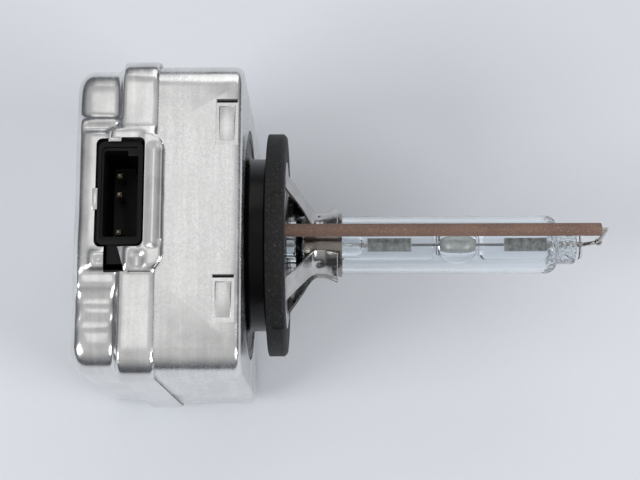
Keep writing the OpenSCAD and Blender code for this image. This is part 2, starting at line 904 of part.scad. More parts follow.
module transformer_bobbin() {
    color([0.83, 0.80, 0.72])
        difference() {
            translate([transformer_x, 0, transformer_z])
                rotate([90, 0, 0]) {
                    cylinder(h = bobbin_length, r = bobbin_tube_r, center = true);
                    for (i = [0:chambers])
                        translate([0, 0, (i - chambers / 2) * chamber_pitch])
                            cylinder(h = flange_t, r = flange_r, center = true);
                }
            translate([transformer_x, 0, transformer_z])
                rotate([90, 0, 0])
                    cylinder(h = bobbin_length + cut, r = core_r + push_gap, center = true);
            for (i = [1:chambers - 1])
                translate([0, (i - chambers / 2) * chamber_pitch, 0])
                    crossing(bobbin_tube_r + 0.4, bobbin_tube_r + 1.8, 1.4, -flange_t, flange_t);
        }
}

// Ring of winding that fills one chamber
module chamber_ring(place, outer_r, inner_r) {
    width = chamber_pitch - flange_t - 2 * push_gap;
    translate([transformer_x, (place + 0.5 - chambers / 2) * chamber_pitch, transformer_z])
        rotate([90, 0, 0])
            difference() {
                cylinder(h = width, r = outer_r, center = true);
                cylinder(h = width + cut, r = inner_r, center = true);
            }
}

module secondary_winding() {
    color([0.66, 0.36, 0.18]) {
        for (place = [0:chambers - 2])
            chamber_ring(place, winding_r, bobbin_tube_r + seat_gap);
        for (i = [1:chambers - 2])
            translate([0, (i - chambers / 2) * chamber_pitch, 0])
                crossing(bobbin_tube_r + 0.5, bobbin_tube_r + 1.7, 1.2, -flange_t, flange_t);
    }
}

module primary_winding() {
    turns = 3;
    wire_r = 0.55;
    middle_y = (chambers - 0.5 - chambers / 2) * chamber_pitch;
    turn_r = bobbin_tube_r + wire_r + seat_gap;
    color([0.78, 0.50, 0.22]) {
        for (i = [0:turns - 1])
            translate([transformer_x, middle_y + (i - 1) * 1.3, transformer_z])
                rotate([90, 0, 0])
                    rotate_extrude()
                        translate([turn_r, 0])
                            circle(wire_r, $fn = 24);
        translate([transformer_x - 0.5, middle_y - 1.3, transformer_z + turn_r - 0.1])
            cube([1, 2.6, 0.5]);
    }
}

module spark_gap_body() {
    color([0.90, 0.88, 0.84])
        translate(gap_place)
            rotate([90, 0, 0])
                cylinder(h = gap_length - 2, r = gap_body_r, center = true);
}

module spark_gap_caps() {
    color([0.76, 0.75, 0.72])
        for (side = [-1, 1]) {
            translate(gap_place + [0, side * (gap_length / 2 - 0.5 + seat_gap / 2), 0])
                rotate([90, 0, 0])
                    cylinder(h = 1 - seat_gap, r = gap_body_r + 0.35, center = true);
            translate([gap_place[0], gap_place[1] + side * (gap_length / 2 - 0.5), carrier_top - carrier_t])
                cylinder(h = 3, r = 0.35);
        }
}

module pulse_capacitor() {
    color([0.74, 0.18, 0.14])
        translate([capacitor_place[0], capacitor_place[1], carrier_top + seat_gap]) {
            translate([-capacitor[0] / 2, -capacitor[1] / 2, 0])
                cube(capacitor);
            for (side = [-1, 1])
                translate([side * 5, 0, -carrier_t])
                    cylinder(h = carrier_t + 0.5, r = 0.35);
        }
}

module bleed_resistor() {
    body_length = 6.4;
    color([0.30, 0.48, 0.60])
        translate(resistor_place + [0, 0, seat_gap])
            rotate([90, 0, 0]) {
                cylinder(h = body_length, r = resistor_r, center = true);
                cylinder(h = body_length + 4, r = 0.3, center = true);
            }
}

main_can();
rear_cover();
connector_receptacle();
supply_contact();
trigger_contact();
return_contact();
base_body();
reference_ring();
holder_ring();
leg_upper_front();
leg_lower_front();
leg_lower_back();
leg_upper_back();
clamp_band();
outer_bulb();
arc_tube();
electrode_front();
electrode_back();
foil_front();
foil_back();
lead_front();
lead_back();
halide_salts();
ceramic_tube();
return_wire();
high_voltage_terminal();
high_voltage_lead();
igniter_housing();
carrier_plate();
transformer_core();
transformer_bobbin();
secondary_winding();
primary_winding();
spark_gap_body();
spark_gap_caps();
pulse_capacitor();
bleed_resistor();
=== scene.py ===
import math

import bmesh
import bpy
from mathutils import Matrix, Vector


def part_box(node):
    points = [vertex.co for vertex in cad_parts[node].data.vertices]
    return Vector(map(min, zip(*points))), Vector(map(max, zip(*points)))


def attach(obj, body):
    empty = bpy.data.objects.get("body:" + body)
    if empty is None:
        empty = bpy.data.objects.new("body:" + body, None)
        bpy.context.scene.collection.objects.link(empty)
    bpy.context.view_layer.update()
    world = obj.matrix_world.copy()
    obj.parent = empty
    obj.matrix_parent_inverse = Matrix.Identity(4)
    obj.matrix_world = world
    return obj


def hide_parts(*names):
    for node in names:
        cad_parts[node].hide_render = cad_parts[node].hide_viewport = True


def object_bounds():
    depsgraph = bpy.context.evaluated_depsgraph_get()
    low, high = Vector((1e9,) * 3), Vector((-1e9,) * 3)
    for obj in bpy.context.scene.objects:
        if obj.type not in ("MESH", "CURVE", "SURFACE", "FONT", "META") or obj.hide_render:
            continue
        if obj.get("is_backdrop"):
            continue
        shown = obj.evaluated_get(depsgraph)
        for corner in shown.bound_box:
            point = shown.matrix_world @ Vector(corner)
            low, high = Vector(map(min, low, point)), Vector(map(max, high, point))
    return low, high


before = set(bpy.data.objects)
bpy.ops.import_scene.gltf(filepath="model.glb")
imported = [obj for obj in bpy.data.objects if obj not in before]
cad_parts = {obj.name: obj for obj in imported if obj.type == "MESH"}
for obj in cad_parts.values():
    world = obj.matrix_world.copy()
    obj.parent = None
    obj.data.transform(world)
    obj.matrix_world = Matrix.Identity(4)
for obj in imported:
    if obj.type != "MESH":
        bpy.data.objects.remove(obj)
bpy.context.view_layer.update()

bl_info = {
    "name": "Headlight Bulb",
    "version": (1, 0, 0),
    "blender": (4, 5, 0),
    "location": "View3D > Sidebar > Headlight Bulb",
    "description": "Builds and finishes a gas-discharge headlight bulb round its packed parts",
    "category": "Object",
}

# Pieces are shaped with one unit to the millimetre, and shrunk to metres when they are finished.
MM = 0.001
SMOOTH_ANGLE = math.radians(32)
TURN_STEPS = 128
FULL_TURN = 2 * math.pi
# Share of a direction that has to lie along an axis to count as along it, or at most to count as across it.
ALONG, ACROSS = 0.9, 0.1
# Distance within which an edge counts as lying in a plane.
NEAR = 0.01
# Distance within which two corners are made one.
MERGE = 0.0005
# How far a cutting shape stands past what it cuts, where nothing else limits it.
PAST = 1
# Height that a cutting shape reaches over the whole box.
CLEAR_Z = 30
CAMERA_TURNS = ((0.0129, "Y"), (0.2055, "X"), (-0.0003, "Z"))
CONTACTS = ("supply_contact", "trigger_contact", "return_contact")
DRESSED = {}


# ---------- picking and shaping ----------


def node_box(node):
    """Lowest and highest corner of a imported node, in millimetres."""
    low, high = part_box(node)
    return low / MM, high / MM


def select_only(*pieces):
    """Leaves only these pieces selected, in object mode."""
    if bpy.context.object is not None and bpy.context.object.mode != "OBJECT":
        bpy.ops.object.mode_set(mode="OBJECT")
    bpy.ops.object.select_all(action="DESELECT")
    for piece in pieces:
        piece.select_set(True)
    if pieces:
        bpy.context.view_layer.objects.active = pieces[0]


def apply_place(piece):
    """Moves a piece's place, turn and size into its mesh."""
    select_only(piece)
    bpy.ops.object.transform_apply(location=True, rotation=True, scale=True)
    return piece


def block(low, high):
    """Box between two corners."""
    low, high = Vector(low), Vector(high)
    select_only()
    bpy.ops.mesh.primitive_cube_add(size=1, location=(low + high) / 2)
    piece = bpy.context.object
    piece.scale = high - low
    return apply_place(piece)


def drum(from_x, to_x, radius, centre=(0.0, 0.0), sides=96):
    """Cylinder along X between two places, round a centre across Y and Z."""
    select_only()
    bpy.ops.mesh.primitive_cylinder_add(
        vertices=sides,
        radius=radius,
        depth=to_x - from_x,
        location=((from_x + to_x) / 2, *centre),
        rotation=(0, math.pi / 2, 0),
    )
    return apply_place(bpy.context.object)


def trough(piece, x, z, radius, from_y, to_y):
    """Cuts a round trough along Y into a piece."""
    tool = drum(from_y, to_y, radius, sides=48)
    tool.rotation_euler = (0, 0, math.pi / 2)
    tool.location = (x, 0, z)
    combine(piece, apply_place(tool))


def edit(piece, kind="FACE"):
    """Opens a piece in edit mode with nothing selected."""
    select_only(piece)
    bpy.ops.object.mode_set(mode="EDIT")
    bpy.ops.mesh.select_mode(type=kind)
    bpy.ops.mesh.select_all(action="DESELECT")


def done():
    bpy.ops.object.mode_set(mode="OBJECT")


def pick_faces(piece, test):
    """Selects the faces whose middle and normal pass the test."""
    mesh = bmesh.from_edit_mesh(piece.data)
    for face in mesh.faces:
        if test(face.calc_center_median(), face.normal):
            face.select_set(True)
    bmesh.update_edit_mesh(piece.data)


def pick_edges(piece, test):
    """Selects the edges whose middle and direction pass the test."""
    mesh = bmesh.from_edit_mesh(piece.data)
    for edge in mesh.edges:
        start, end = (vertex.co for vertex in edge.verts)
        if test((start + end) / 2, (end - start).normalized()):
            edge.select_set(True)
    bmesh.update_edit_mesh(piece.data)


def round_edges(piece, test, radius, steps):
    """Bevels the edges that pass the test to a radius."""
    edit(piece, "EDGE")
    pick_edges(piece, test)
    bpy.ops.mesh.bevel(offset=radius, segments=steps, affect="EDGES")
    done()


def remove_faces(piece, test):
    edit(piece, "FACE")
    pick_faces(piece, test)
    bpy.ops.mesh.delete(type="FACE")
    done()


def move_edges(piece, test, by):
    edit(piece, "EDGE")
    pick_edges(piece, test)
    bpy.ops.transform.translate(value=by)
    done()


def modify(piece, kind, **settings):
    """Adds a modifier, sets it and applies it."""
    select_only(piece)
    bpy.ops.object.modifier_add(type=kind)
    modifier = piece.modifiers[-1]
    for name, value in settings.items():
        setattr(modifier, name, value)
    bpy.ops.object.modifier_apply(modifier=modifier.name)
    return piece


def combine(piece, tool, how="DIFFERENCE"):
    """Cuts or joins a piece with a tool shape, and removes the tool."""
    modify(piece, "BOOLEAN", object=tool, operation=how, solver="EXACT")
    bpy.data.objects.remove(tool)
    return piece


def ease_edges(piece, width, steps=2, angle=40):
    """Takes the sharpness off every edge steeper than the angle."""
    return modify(
        piece, "BEVEL", width=width, segments=steps, limit_method="ANGLE",
        angle_limit=math.radians(angle), use_clamp_overlap=True, harden_normals=False,
    )


def turned(points, closed=True, steps=TURN_STEPS):
    """Piece turned round the X axis from (x, radius) points, extruded one after another and spun."""
    start = points[0]
    select_only()
    bpy.ops.mesh.primitive_plane_add(size=1, location=(start[0], 0, start[1]))
    piece = apply_place(bpy.context.object)
    edit(piece, "VERT")
    bpy.ops.mesh.select_all(action="SELECT")
    bpy.ops.mesh.merge(type="CENTER")
    ring = points[1:] + ([start] if closed else [])
    for before, after in zip(points, ring):
        step = (after[0] - before[0], 0, after[1] - before[1])
        bpy.ops.mesh.extrude_vertices_move(TRANSFORM_OT_translate={"value": step})
    bpy.ops.mesh.select_all(action="SELECT")
    bpy.ops.mesh.remove_doubles(threshold=MERGE)
    bpy.ops.mesh.spin(steps=steps, angle=FULL_TURN, center=(0, 0, 0), axis=(1, 0, 0))
    bpy.ops.mesh.select_all(action="SELECT")
    bpy.ops.mesh.remove_doubles(threshold=MERGE)
    bpy.ops.mesh.normals_make_consistent(inside=False)
    done()
    return piece


def arc(centre, radii, from_deg, to_deg, steps=6):
    """(x, radius) points on part of an ellipse."""
    points = []
    for i in range(steps + 1):
        turn = math.radians(from_deg + (to_deg - from_deg) * i / steps)
        points.append(tuple(c + r * f(turn) for c, r, f in zip(centre, radii, (math.cos, math.sin))))
    return points


def barrel(centre, half, radius, steps=24, square=2.7):
    """(x, radius) points of a barrel with full ends, from its rear pole to its front pole."""
    points = []
    for i in range(steps + 1):
        turn = math.pi * (1 - i / steps)
        x = math.copysign(abs(math.cos(turn)) ** (2 / square), math.cos(turn)) * half
        points.append((centre + x, radius * max(0.0, math.sin(turn)) ** (2 / square)))
    points[0], points[-1] = (centre - half, 0.0), (centre + half, 0.0)
    return points


def smooth_path(stations, share):
    """Place on a smooth line through the stations, for a share from 0 to 1."""
    spans = len(stations) - 1
    at = min(share * spans, spans - 1e-6)
    i = int(at)
    t = at - i
    before = stations[max(i - 1, 0)]
    a, b = stations[i], stations[i + 1]
    after = stations[min(i + 2, spans)]
    return [
        0.5 * (2 * p1 + (p2 - p0) * t + (2 * p0 - 5 * p1 + 4 * p2 - p3) * t * t
               + (3 * p1 - p0 - 3 * p2 + p3) * t ** 3)
        for p0, p1, p2, p3 in zip(before, a, b, after)
    ]


def place_vertices(piece, place):
    """Moves each vertex to where place says, for sheet that bends in two ways at once."""
    for vertex in piece.data.vertices:
        vertex.co = place(vertex.co)
    piece.data.update()


def copy_of(piece):
    """Copy with a mesh of its own."""
    select_only(piece)
    bpy.ops.object.duplicate(linked=False)
    return bpy.context.object


def finish_piece(piece, name, stands_for, finish, smooth=SMOOTH_ANGLE):
    """Shrinks a piece to metres, names and dresses it, and hangs it on the part."""
    select_only(piece)
    piece.scale = (MM, MM, MM)
    apply_place(piece)
    bpy.ops.object.shade_smooth_by_angle(angle=smooth)
    piece.name = name
    piece.data.name = name
    piece.data.materials.clear()
    piece.data.materials.append(dressed(finish))
    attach(piece, "root")
    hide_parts(*stands_for)
    return piece


def dress_node(node, finish):
    """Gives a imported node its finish."""
    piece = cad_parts[node]
    piece.data.materials.clear()
    piece.data.materials.append(dressed(finish))


# ---------- finishes ----------

PALE_FLECK = (0.33, 0.31, 0.26)
# The ceramic's light grains are partly real pale grains and partly painted glints of metallic bits.
PALE_GRAIN_AND_GLINT, DARK_GRAIN = (0.62, 0.47, 0.38), (0.12, 0.08, 0.07)
CAP_METAL, BAND_DARK, BAND_WARM = (0.6, 0.6, 0.6), (0.08, 0.05, 0.04), (0.55, 0.22, 0.05)
# Places of a Mix node's two colours among its inputs, and of the mixed colour among its outputs.
MIX_UNDER, MIX_TOP, MIX_RESULT = 6, 7, 2


def shade(colour, by):
    """A colour made darker or lighter."""
    return tuple(min(1.0, c * by) for c in colour)


class Finish:
    """A material in the making, with patterns that follow the object's own coordinates."""

    def __init__(self, name, colour, metallic=0.0, roughness=0.5, **sockets):
        self.material = bpy.data.materials.new(name)
        self.material.use_nodes = True
        self.tree = self.material.node_tree
        self.shader = self.tree.nodes["Principled BSDF"]
        self.place = self.tree.nodes.new("ShaderNodeTexCoord").outputs["Object"]
        self.put("Base Color", (*colour, 1.0))
        self.put("Metallic", metallic)
        self.put("Roughness", roughness)
        for socket, value in sockets.items():
            self.put(socket.replace("_", " "), value)

    def put(self, socket, value):
        self.shader.inputs[socket].default_value = value

    def link(self, source, target):
        self.tree.links.new(source, target)

    def mapped(self, stretch=(1, 1, 1)):
        node = self.tree.nodes.new("ShaderNodeMapping")
        node.inputs["Scale"].default_value = stretch
        self.link(self.place, node.inputs["Vector"])
        return node.outputs["Vector"]

    def noise(self, size_mm, detail=3.0, rough=0.5, stretch=(1, 1, 1), warp=0.0):
        """Cloudy pattern whose lumps are about size_mm across."""
        node = self.tree.nodes.new("ShaderNodeTexNoise")
        node.inputs["Scale"].default_value = 1 / (size_mm * MM)
        node.inputs["Detail"].default_value = detail
        node.inputs["Roughness"].default_value = rough
        node.inputs["Distortion"].default_value = warp
        self.link(self.mapped(stretch), node.inputs["Vector"])
        return node.outputs["Fac"]

    def cells(self, size_mm, stretch=(1, 1, 1)):
        """Cell pattern whose cells are about size_mm across."""
        node = self.tree.nodes.new("ShaderNodeTexVoronoi")
        node.inputs["Scale"].default_value = 1 / (size_mm * MM)
        self.link(self.mapped(stretch), node.inputs["Vector"])
        return node.outputs["Distance"]

    def along(self, axis, low, high):
        """Share of the way from low to high, in millimetres along an axis."""
        split = self.tree.nodes.new("ShaderNodeSeparateXYZ")
        self.link(self.place, split.inputs["Vector"])
        return self.level(split.outputs[axis], low * MM, high * MM, 0.0, 1.0)

    def level(self, source, low, high, to_low, to_high):
        """Spreads a pattern's values from one range to another."""
        node = self.tree.nodes.new("ShaderNodeMapRange")
        sockets = ("From Min", "From Max", "To Min", "To Max")
        for socket, value in zip(sockets, (low, high, to_low, to_high)):
            node.inputs[socket].default_value = value
        self.link(source, node.inputs["Value"])
        return node.outputs["Result"]

    def times(self, first, second):
        node = self.tree.nodes.new("ShaderNodeMath")
        node.operation = "MULTIPLY"
        self.link(first, node.inputs[0])
        self.link(second, node.inputs[1])
        return node.outputs["Value"]

    def colours(self, source, *stops):
        """Colour band: (place, colour) stops along a pattern."""
        node = self.tree.nodes.new("ShaderNodeValToRGB")
        ramp = node.color_ramp
        while len(ramp.elements) < len(stops):
            ramp.elements.new(0.5)
        for element, (place, colour) in zip(ramp.elements, stops):
            element.position = place
            element.color = (*colour, 1.0)
        self.link(source, node.inputs["Fac"])
        return node.outputs["Color"]

    def over(self, mask, under, top):
        """Lays a colour over another where the mask is high."""
        node = self.tree.nodes.new("ShaderNodeMix")
        node.data_type = "RGBA"
        self.link(mask, node.inputs["Factor"])
        for value, index in ((under, MIX_UNDER), (top, MIX_TOP)):
            if isinstance(value, tuple):
                node.inputs[index].default_value = (*value, 1.0)
            else:
                self.link(value, node.inputs[index])
        return node.outputs[MIX_RESULT]

    def bumps(self, *layers):
        """Relief from (pattern, height in millimetres) layers."""
        normal = None
        for pattern, height in layers:
            node = self.tree.nodes.new("ShaderNodeBump")
            node.inputs["Strength"].default_value = 1.0
            node.inputs["Distance"].default_value = height * MM
            self.link(pattern, node.inputs["Height"])
            if normal is not None:
                self.link(normal, node.inputs["Normal"])
            normal = node.outputs["Normal"]
        self.link(normal, self.shader.inputs["Normal"])

    def paint(self, source):
        self.link(source, self.shader.inputs["Base Color"])

    def gloss(self, source, low, high, smooth, dull):
        """Spreads a pattern's values over a range of roughness."""
        self.link(self.level(source, low, high, smooth, dull), self.shader.inputs["Roughness"])


def tinned_sheet(name, colour, dull, crumple):
    """Bright tinned steel sheet with drawing marks, soft dents and fingered patches."""
    f = Finish(name, colour, metallic=1.0, roughness=0.3)
    patches = f.noise(7, 6, 0.62)
    streaks = f.noise(0.9, 4, 0.6, stretch=(1, 0.06, 0.06))
    specks = f.noise(0.35, 3, 0.7)
    f.paint(f.over(
        f.level(f.times(patches, streaks), 0.2, 0.36, 0.0, 1.0),
        f.colours(patches, (0.3, shade(colour, 0.86)), (0.62, colour)),
        shade(colour, 1.08),
    ))
    f.gloss(f.times(patches, specks), 0.12, 0.4, 0.17, dull)
    f.bumps(
        (f.noise(13, 2, 0.45), crumple * 1.3),
        (f.noise(3.2, 2, 0.4), crumple * 0.12),
        (streaks, 0.005),
        (specks, 0.0012),
    )
    return f.material


def spring_sheet(name, colour, dull):
    """Bright stainless sheet with fine rolling lines."""
    f = Finish(name, colour, metallic=1.0, roughness=0.22)
    lines = f.noise(0.5, 4, 0.6, stretch=(0.08, 1, 1))
    patches = f.noise(2.4, 4, 0.6)
    f.paint(f.colours(patches, (0.3, shade(colour, 0.8)), (0.65, colour)))
    f.gloss(lines, 0.3, 0.7, 0.12, dull)
    f.bumps((f.noise(2.2, 2, 0.5), 0.05), (lines, 0.004))
    return f.material


def moulded_plastic(name, colour, low, high, grain_mm, grain_height, flecks=0.0, sheen=0.5):
    """Moulded plastic: a colour that varies a little, a gloss range, and grain."""
    f = Finish(name, colour, roughness=low, Specular_IOR_Level=sheen)
    patches = f.noise(6, 5, 0.6)
    grain = f.noise(grain_mm, 4, 0.65)
    base = f.colours(patches, (0.3, shade(colour, 0.72)), (0.7, shade(colour, 1.25)))
    if flecks:
        spots = f.level(f.noise(grain_mm * 1.3, 2, 0.8), 0.56, 0.7, 0.0, flecks)
        base = f.over(spots, base, PALE_FLECK)
    f.paint(base)
    f.gloss(patches, 0.3, 0.7, low, high)
    f.bumps((patches, 0.02), (grain, grain_height))
    return f.material


def clear_glass(name, colour, ripple, fused_at=None):
    """Polished glass with a faint ripple, rougher where it was fused."""
    f = Finish(name, colour, roughness=0.0, Transmission_Weight=1.0, IOR=1.46)
    wave = f.noise(9, 2, 0.4, stretch=(0.5, 1, 1))
    f.gloss(f.noise(1.6, 4, 0.7), 0.6, 0.85, 0.0, 0.06)
    layers = [(wave, ripple)]
    if fused_at is not None:
        layers.append((f.times(f.along("X", *fused_at), f.noise(1.3, 2, 0.5, warp=1.2)), 0.5))
    f.bumps(*layers)
    return f.material


def plain_metal(name, colour, low, high, grain_mm=0.5, height=0.01):
    """Small metal pieces: wires, foils, caps and contacts."""
    f = Finish(name, colour, metallic=1.0, roughness=low)
    patches = f.noise(grain_mm * 4, 4, 0.6)
    f.paint(f.colours(patches, (0.3, shade(colour, 0.7)), (0.7, colour)))
    f.gloss(patches, 0.3, 0.7, low, high)
    f.bumps((f.noise(grain_mm, 3, 0.6), height))
    return f.material


def crinkled_foil(name, colour):
    """Thin foil, wrinkled and dulled where the quartz was pressed on it."""
    f = Finish(name, colour, metallic=1.0, roughness=0.4)
    patches = f.noise(0.8, 4, 0.65)
    f.paint(f.colours(patches, (0.36, shade(colour, 0.45)), (0.62, colour)))
    f.gloss(patches, 0.35, 0.65, 0.3, 0.55)
    f.bumps((f.noise(0.9, 2, 0.5, stretch=(1, 0.5, 1)), 0.16), (f.noise(0.25, 3, 0.6), 0.02))
    return f.material


def speckled_ceramic(name, colour):
    """Unglazed brown ceramic with fine dark grains, and light grains that are partly real pale grains and partly
    painted glints of its metallic bits.
    """
    f = Finish(name, colour, roughness=0.62)
    grains = f.noise(0.22, 3, 0.75)
    warm = f.noise(5, 3, 0.5, stretch=(0.6, 1, 1))
    base = f.colours(warm, (0.3, shade(colour, 0.78)), (0.7, shade(colour, 1.2)))
    # Light grains: partly pale grains, partly painted glints.
    lighter = f.over(f.level(grains, 0.55, 0.68, 0.0, 0.55), base, PALE_GRAIN_AND_GLINT)
    f.paint(f.over(f.level(grains, 0.42, 0.3, 0.0, 0.5), lighter, DARK_GRAIN))
    f.gloss(grains, 0.35, 0.7, 0.5, 0.75)
    f.bumps((grains, 0.03), (f.noise(1.4, 2, 0.5, stretch=(0.2, 1, 1)), 0.02))
    return f.material


def salt_crust(name, colour):
    """Salts frozen in a thin glossy crust."""
    f = Finish(name, colour, roughness=0.25, Coat_Weight=0.5, Coat_Roughness=0.08)
    mottle = f.noise(0.9, 4, 0.6)
    f.paint(f.colours(mottle, (0.3, shade(colour, 0.82)), (0.7, colour)))
    f.gloss(mottle, 0.3, 0.7, 0.2, 0.45)
    f.bumps((mottle, 0.04))
    return f.material


def wound_wire(name, colour, pitch_mm):
    """Enamelled copper, its turns running round the winding, with painted shade in the grooves between turns."""
    f = Finish(name, colour, metallic=1.0, roughness=0.35)
    turns = f.tree.nodes.new("ShaderNodeTexWave")
    turns.bands_direction = "Y"
    turns.inputs["Scale"].default_value = 0.05 / (pitch_mm * MM)
    turns.inputs["Distortion"].default_value = 0.6
    f.link(f.mapped(), turns.inputs["Vector"])
    height = turns.outputs["Fac"]
    # Darker where the wave dips between the turns: painted shade in the grooves.
    f.paint(f.colours(height, (0.1, shade(colour, 0.45)), (0.7, colour)))
    f.gloss(f.noise(1.5, 3), 0.3, 0.7, 0.25, 0.45)
    f.bumps((height, pitch_mm * 0.3))
    return f.material


def laminate_board(name, colour):
    """Woven laminate with a resin sheen."""
    f = Finish(name, colour, roughness=0.45)
    weave = f.cells(0.8, stretch=(1, 1, 0.2))
    f.paint(f.colours(weave, (0.1, colour), (0.8, shade(colour, 0.7))))
    f.gloss(f.noise(4), 0.3, 0.7, 0.35, 0.6)
    f.bumps((weave, 0.03))
    return f.material


def banded_resistor(name, colour):
    """Lacquered body with its colour bands across."""
    f = Finish(name, colour, roughness=0.3)
    low, high = node_box("bleed_resistor")
    f.paint(f.colours(
        f.along("Y", low.y, high.y),
        (0.0, CAP_METAL), (0.19, colour), (0.3, BAND_DARK), (0.36, colour), (0.46, BAND_WARM),
        (0.52, colour), (0.62, BAND_DARK), (0.68, colour), (0.81, CAP_METAL),
    ))
    f.gloss(f.noise(0.6), 0.3, 0.7, 0.22, 0.4)
    f.bumps((f.noise(0.8), 0.02))
    return f.material


def floor_paper(name, colour):
    """Plain pale paper under the lamp."""
    f = Finish(name, colour, roughness=0.75)
    fibres = f.noise(1.2, 5, 0.7)
    f.paint(f.colours(fibres, (0.25, shade(colour, 0.985)), (0.75, colour)))
    f.gloss(fibres, 0.3, 0.7, 0.7, 0.8)
    f.bumps((fibres, 0.01))
    return f.material


def finishes():
    """The maker of each named finish, its colour and the rest of its settings."""
    scene = bpy.context.scene
    look = scene.bulb_looks
    tin, crumple = tuple(look.tin), look.crumple / MM
    return {
        "tin_can": (tinned_sheet, tin, 0.36, crumple),
        "tin_cover": (tinned_sheet, tin, 0.28, crumple * 1.15),
        "spring_sheet": (spring_sheet, tuple(look.spring), 0.3),
        # The clamp band is the legs' spring sheet made darker and browner: painted dark reflection.
        "band_sheet": (spring_sheet, (0.34, 0.31, 0.28), 0.34),
        "gloss_black": (moulded_plastic, tuple(look.base), 0.2, 0.36, 0.8, 0.004, 0.0, 0.2),
        "grained_grey": (moulded_plastic, tuple(look.ring), 0.5, 0.72, 0.28, 0.05, 0.16, 0.2),
        "socket_black": (moulded_plastic, (0.003, 0.003, 0.003), 0.35, 0.55, 0.4, 0.012, 0.0, 0.25),
        "housing_black": (moulded_plastic, (0.03, 0.03, 0.033), 0.5, 0.7, 0.5, 0.02),
        "bobbin_cream": (moulded_plastic, (0.72, 0.67, 0.55), 0.4, 0.55, 0.6, 0.01),
        "capacitor_red": (moulded_plastic, (0.5, 0.05, 0.035), 0.2, 0.35, 0.9, 0.01),
        "ferrite": (moulded_plastic, (0.045, 0.045, 0.05), 0.55, 0.75, 0.3, 0.03, 0.25),
        "white_ceramic": (moulded_plastic, (0.78, 0.75, 0.69), 0.3, 0.45, 0.5, 0.01),
        "outer_glass": (clear_glass, tuple(look.glass), 0.02, (40.5, 42.5)),
        "inner_quartz": (clear_glass, (0.97, 0.985, 1.0), 0.03),
        "molybdenum": (crinkled_foil, (0.52, 0.53, 0.51)),
        "tungsten": (plain_metal, (0.32, 0.32, 0.34), 0.35, 0.5),
        "nickel_wire": (plain_metal, (0.55, 0.53, 0.5), 0.22, 0.4, 0.4, 0.02),
        "tinned_brass": (plain_metal, (0.50, 0.45, 0.32), 0.3, 0.45),
        "bare_copper": (plain_metal, (0.72, 0.4, 0.22), 0.25, 0.4),
        "cap_metal": (plain_metal, (0.7, 0.69, 0.65), 0.2, 0.35),
        "brown_ceramic": (speckled_ceramic, tuple(look.rod)),
        "salts": (salt_crust, tuple(look.salts)),
        "fine_winding": (wound_wire, (0.62, 0.28, 0.12), 0.25),
        "thick_winding": (wound_wire, (0.75, 0.42, 0.16), 1.2),
        "board": (laminate_board, (0.23, 0.14, 0.06)),
        "resistor": (banded_resistor, (0.1, 0.25, 0.4)),
        "floor": (floor_paper, tuple(scene.bulb_stage.floor)),
    }


def dressed(finish):
    """The material of a named finish, made once."""
    if finish not in DRESSED:
        maker, *settings = finishes()[finish]
        DRESSED[finish] = maker(finish, *settings)
    return DRESSED[finish]


# ---------- settings ----------


def length(name, about, millimetres):
    return bpy.props.FloatProperty(
        name=name, description=about, default=millimetres * MM, min=0.0, unit="LENGTH", precision=5,
    )


def colour(name, about, value):
    return bpy.props.FloatVectorProperty(
        name=name, description=about, default=value, size=3, min=0.0, max=1.0, subtype="COLOR",
    )


class BulbSizes(bpy.types.PropertyGroup):
    """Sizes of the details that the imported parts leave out."""

    sheet: length("Sheet", "Thickness of the tinned sheet", 0.45)
    corner: length("Corner", "Radius of the box's long corners", 4.0)
    back_edge: length("Back edge", "Radius of the cover's back edges", 2.4)
    cover_grid: length("Cover grid", "Grid on which the pressed cover is shaped", 0.36)
    dent: length("Dents", "Depth of the soft dents in the cover", 0.16)
    frame_rise: length("Frame", "Height of the pressed frame round the connector", 0.5)
    leg_sheet: length("Leg sheet", "Thickness of the support legs", 0.35)
    leaf: length("Leaf", "Width of a leg's end over the clamp band", 4.7)


class BulbLooks(bpy.types.PropertyGroup):
    """Colours and relief of the finishes."""

    tin: colour("Tin", "Colour of the tinned sheet", (0.78, 0.78, 0.775))
    crumple: length("Crumple", "Relief of the waves in the sheet", 0.22)
    spring: colour("Spring sheet", "Colour of the stainless legs", (0.60, 0.59, 0.58))
    base: colour("Base", "Colour of the glossy base", (0.005, 0.005, 0.006))
    ring: colour("Ring", "Colour of the grained ring", (0.020, 0.020, 0.021))
    glass: colour("Glass", "Tint of the outer bulb", (0.95, 0.98, 1.0))
    rod: colour("Ceramic", "Colour of the ceramic tube", (0.20, 0.118, 0.088))
    salts: colour("Salts", "Colour of the frozen salts", (0.98, 0.98, 0.90))


class BulbStage(bpy.types.PropertyGroup):
    """The floor and the lights."""

    floor: colour("Floor", "Colour of the floor", (0.80, 0.83, 0.88))
    key_power: bpy.props.FloatProperty(
        name="Key light", description="Power of the softbox overhead, in watts", default=0.11, min=0.0, unit="POWER",
    )
    fill_power: bpy.props.FloatProperty(
        name="Fill light", description="Power of the side softbox, in watts", default=2.8, min=0.0, unit="POWER",
    )
    sky: bpy.props.FloatProperty(
        name="Sky", description="Strength of the even light from all round", default=0.56, min=0.0,
    )
    lens: bpy.props.FloatProperty(
        name="Lens", description="Focal length of the camera, in millimetres on 36 mm film", default=84.46, min=1.0,
    )


class Step:
    """What the steps of the build have in common."""

    bl_options = {"REGISTER", "UNDO"}


# ---------- the igniter box ----------


